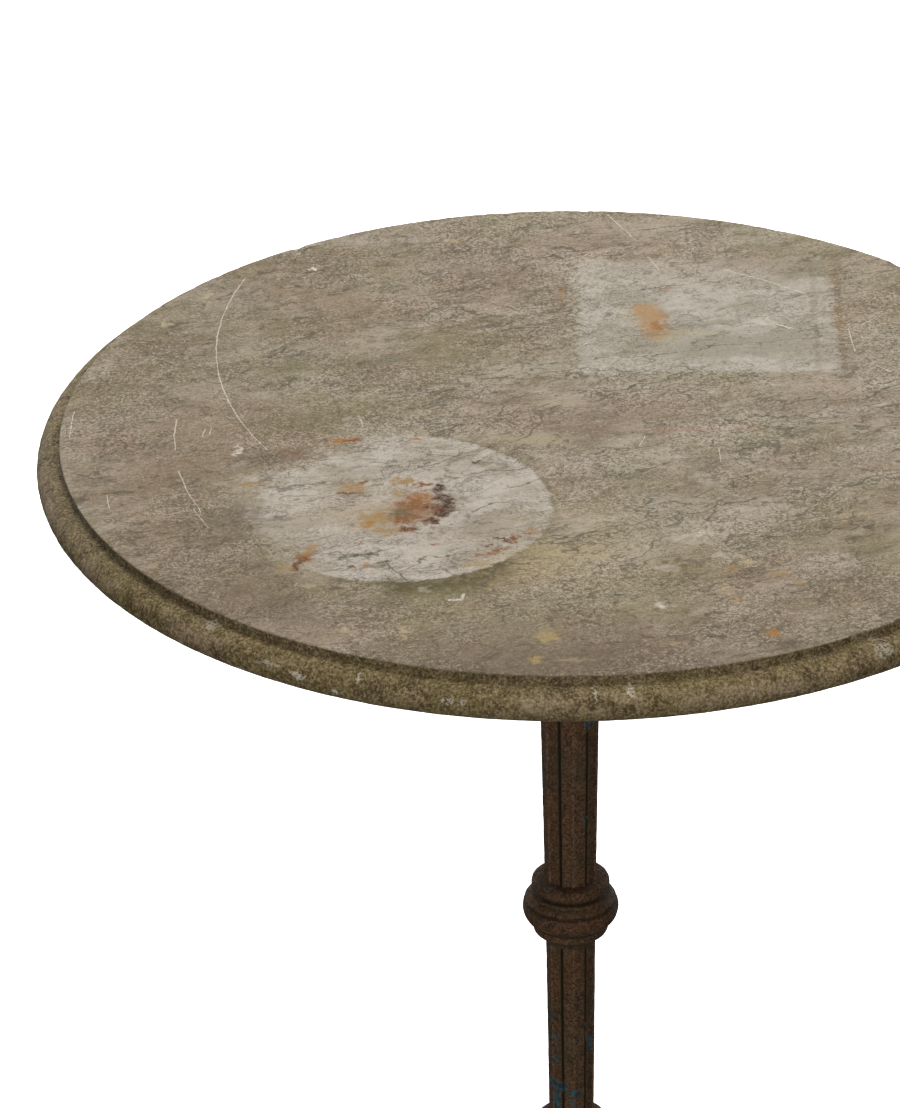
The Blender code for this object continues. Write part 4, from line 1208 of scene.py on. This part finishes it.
def build_bolts():
    """Leg bolts, laid to point outwards."""
    for index, direction in enumerate(LEG_DIRECTIONS, start=1):
        for level in "ab":
            node = f"leg_bolt_{index}{level}"
            mesh = bolt_mesh()
            turn = Matrix.Rotation(direction, 4, "Z") @ Matrix.Rotation(pi / 2, 4, "Y")
            mesh.transform(Matrix.Translation((0, 0, sum(ends(node)) / 2)) @ turn)
            take_over(f"{node}_headed", mesh, STEEL, 32, node)


def finish_cad_pieces():
    """CAD pieces whose shape is right keep it and take a rusted or leaden surface."""
    rusted = ("top_washer", "leg_washer", "top_screw", "rod_", "tie_rod", "centring_bush")
    leaden = ("top_anchor", "bedding_washer")
    for name, piece in NODES.items():
        for starts, material in ((rusted, STEEL), (leaden, LEAD)):
            if name.startswith(starts):
                piece.data.materials.clear()
                piece.data.materials.append(material)


# ---- camera, light and floor

CAMERA_PLACE = (0.0, -3.5772, 2.5489)
CAMERA_YAW = -0.0189
CAMERA_PITCH = 0.4901
CAMERA_ROLL = -0.0136
LENS_MM = 231.7
WORLD_LIGHT = 0.13
WHITE = (1.0, 1.0, 1.0, 1.0)
PALE_GREY = (0.86, 0.86, 0.86, 1.0)
FLOOR_HALF = 60.0
# Lamps: place, height they aim at, size, power in watts.
LIGHTS = {
    "front": ((-0.35, -4.2, 1.5), 0.45, 1.8, 100),
    "overhead": ((0.4, 0.5, 3.6), 0.7, 2.6, 93),
    "rear_left": ((-2.1, 3.7, 1.2), 0.45, 1.8, 90),
    "rear_right": ((2.1, 3.7, 1.2), 0.45, 1.8, 90),
}


def build_camera():
    """Long lens, looking down at the table from a standing height."""
    level = cos(CAMERA_PITCH)
    forward = Vector((sin(CAMERA_YAW) * level, cos(CAMERA_YAW) * level, -sin(CAMERA_PITCH)))
    level_right = Vector((cos(CAMERA_YAW), -sin(CAMERA_YAW), 0))
    level_up = level_right.cross(forward)
    right = cos(CAMERA_ROLL) * level_right + sin(CAMERA_ROLL) * level_up
    up = right.cross(forward)
    lens = bpy.data.cameras.new("camera")
    lens.sensor_width = 36.0
    lens.lens = LENS_MM
    lens.clip_end = 200.0
    camera = add_object("camera", lens)
    turn = Matrix((right, up, -forward)).transposed().to_4x4()
    camera.matrix_world = Matrix.Translation(CAMERA_PLACE) @ turn
    bpy.context.scene.camera = camera


def build_lights():
    """Round area lamps that aim at the table's axis."""
    for name, (place, target_height, size, power) in LIGHTS.items():
        light = bpy.data.lights.new(name, "AREA")
        light.shape = "DISK"
        light.size = size
        light.energy = power
        made = add_object(name, light)
        made.location = place
        aim = Vector((0, 0, target_height)) - Vector(place)
        made.rotation_euler = aim.to_track_quat("-Z", "Y").to_euler()


def build_world():
    """Even studio light, on a background that the camera sees as white."""
    world = bpy.data.worlds.new("studio")
    world.use_nodes = True
    tree = world.node_tree
    backdrop = tree.nodes["Background"]
    backdrop.inputs["Color"].default_value = WHITE
    path = tree.nodes.new("ShaderNodeLightPath")
    level = tree.nodes.new("ShaderNodeMix")
    level.inputs["A"].default_value = WORLD_LIGHT
    level.inputs["B"].default_value = 1.0
    tree.links.new(path.outputs["Is Camera Ray"], level.inputs["Factor"])
    tree.links.new(level.outputs["Result"], backdrop.inputs["Strength"])
    bpy.context.scene.world = world


def build_floor():
    """White floor that throws no colour on the table."""
    mesh = bpy.data.meshes.new("floor")
    half = FLOOR_HALF
    corners = [(-half, -half, 0), (half, -half, 0), (half, half, 0), (-half, half, 0)]
    mesh.from_pydata(corners, [], [(0, 1, 2, 3)])
    floor = add_object("floor", mesh)
    g = new_material("pale_floor")
    g.shader.inputs["Emission Color"].default_value = WHITE
    g.shader.inputs["Emission Strength"].default_value = 1.0
    g.colour = PALE_GREY
    mesh.materials.append(g.finish(0.9))
    floor.visible_diffuse = False
    floor.visible_glossy = False


# ---- the table

# How much blue paint is left on each casting, from 0 to 1.
PAINT_LEFT = {
    "top_spider": 0.4,
    "upper_shaft": 0.05,
    "shaft_collar": 0.0,
    "lower_shaft": 0.12,
    "base_ring": 0.2,
    "leg_hub": 0.34,
    "leg_1": 0.3,
    "leg_2": 0.34,
    "leg_3": 0.28,
    "bottom_finial": 0.42,
}
# Patches of paint in the plane that faces the front: across, up, half width, half height, turn, strength.
PAINT_MARKS = {
    "upper_shaft": ((17.4, 612, 2.4, 14, 0, 0.62), (16.8, 580, 1.8, 12, 0, 0.5)),
    "lower_shaft": (
        (-9.5, 320, 4, 8.5, 0, 1), (-8.5, 308, 4, 6, 0, 0.8), (-7, 290.5, 8, 5.5, 8, 1),
        (2, 286, 7.5, 5, 0, 1), (-8.5, 279, 5, 8.5, 0, 1), (0, 279, 6, 4, 0, 0.8),
        (12, 340, 2.8, 11, 0, 0.7), (12, 315, 2.4, 8, 0, 0.6), (11, 285, 3, 12, 0, 0.6),
    ),
}
# Heights of the hollows that are darkened with dirt and painted shade.
GROOVES = {
    "shaft_collar": (0.4196, 0.4126, 0.3986, 0.3905),
    "base_ring": (0.2537, 0.2412),
    "leg_hub": (0.237, 0.199, 0.1135),
    "bottom_finial": (0.09, 0.0745),
}
IRON = {node: rusty_iron(node, order) for order, node in enumerate(PAINT_LEFT)}
STEEL = steel_material()
LEAD = lead_material()

bpy.context.scene.view_settings.view_transform = "Standard"
build_camera()
build_world()
build_lights()
build_floor()
build_stone()
build_shaft("upper_shaft", 0.01535, 0.0192, 0.2)
build_shaft("lower_shaft", 0.0134, 0.01475, 0.5)
build_collar()
build_base_ring()
build_hub()
build_finial()
build_legs()
build_spider()
build_bolts()
finish_cad_pieces()
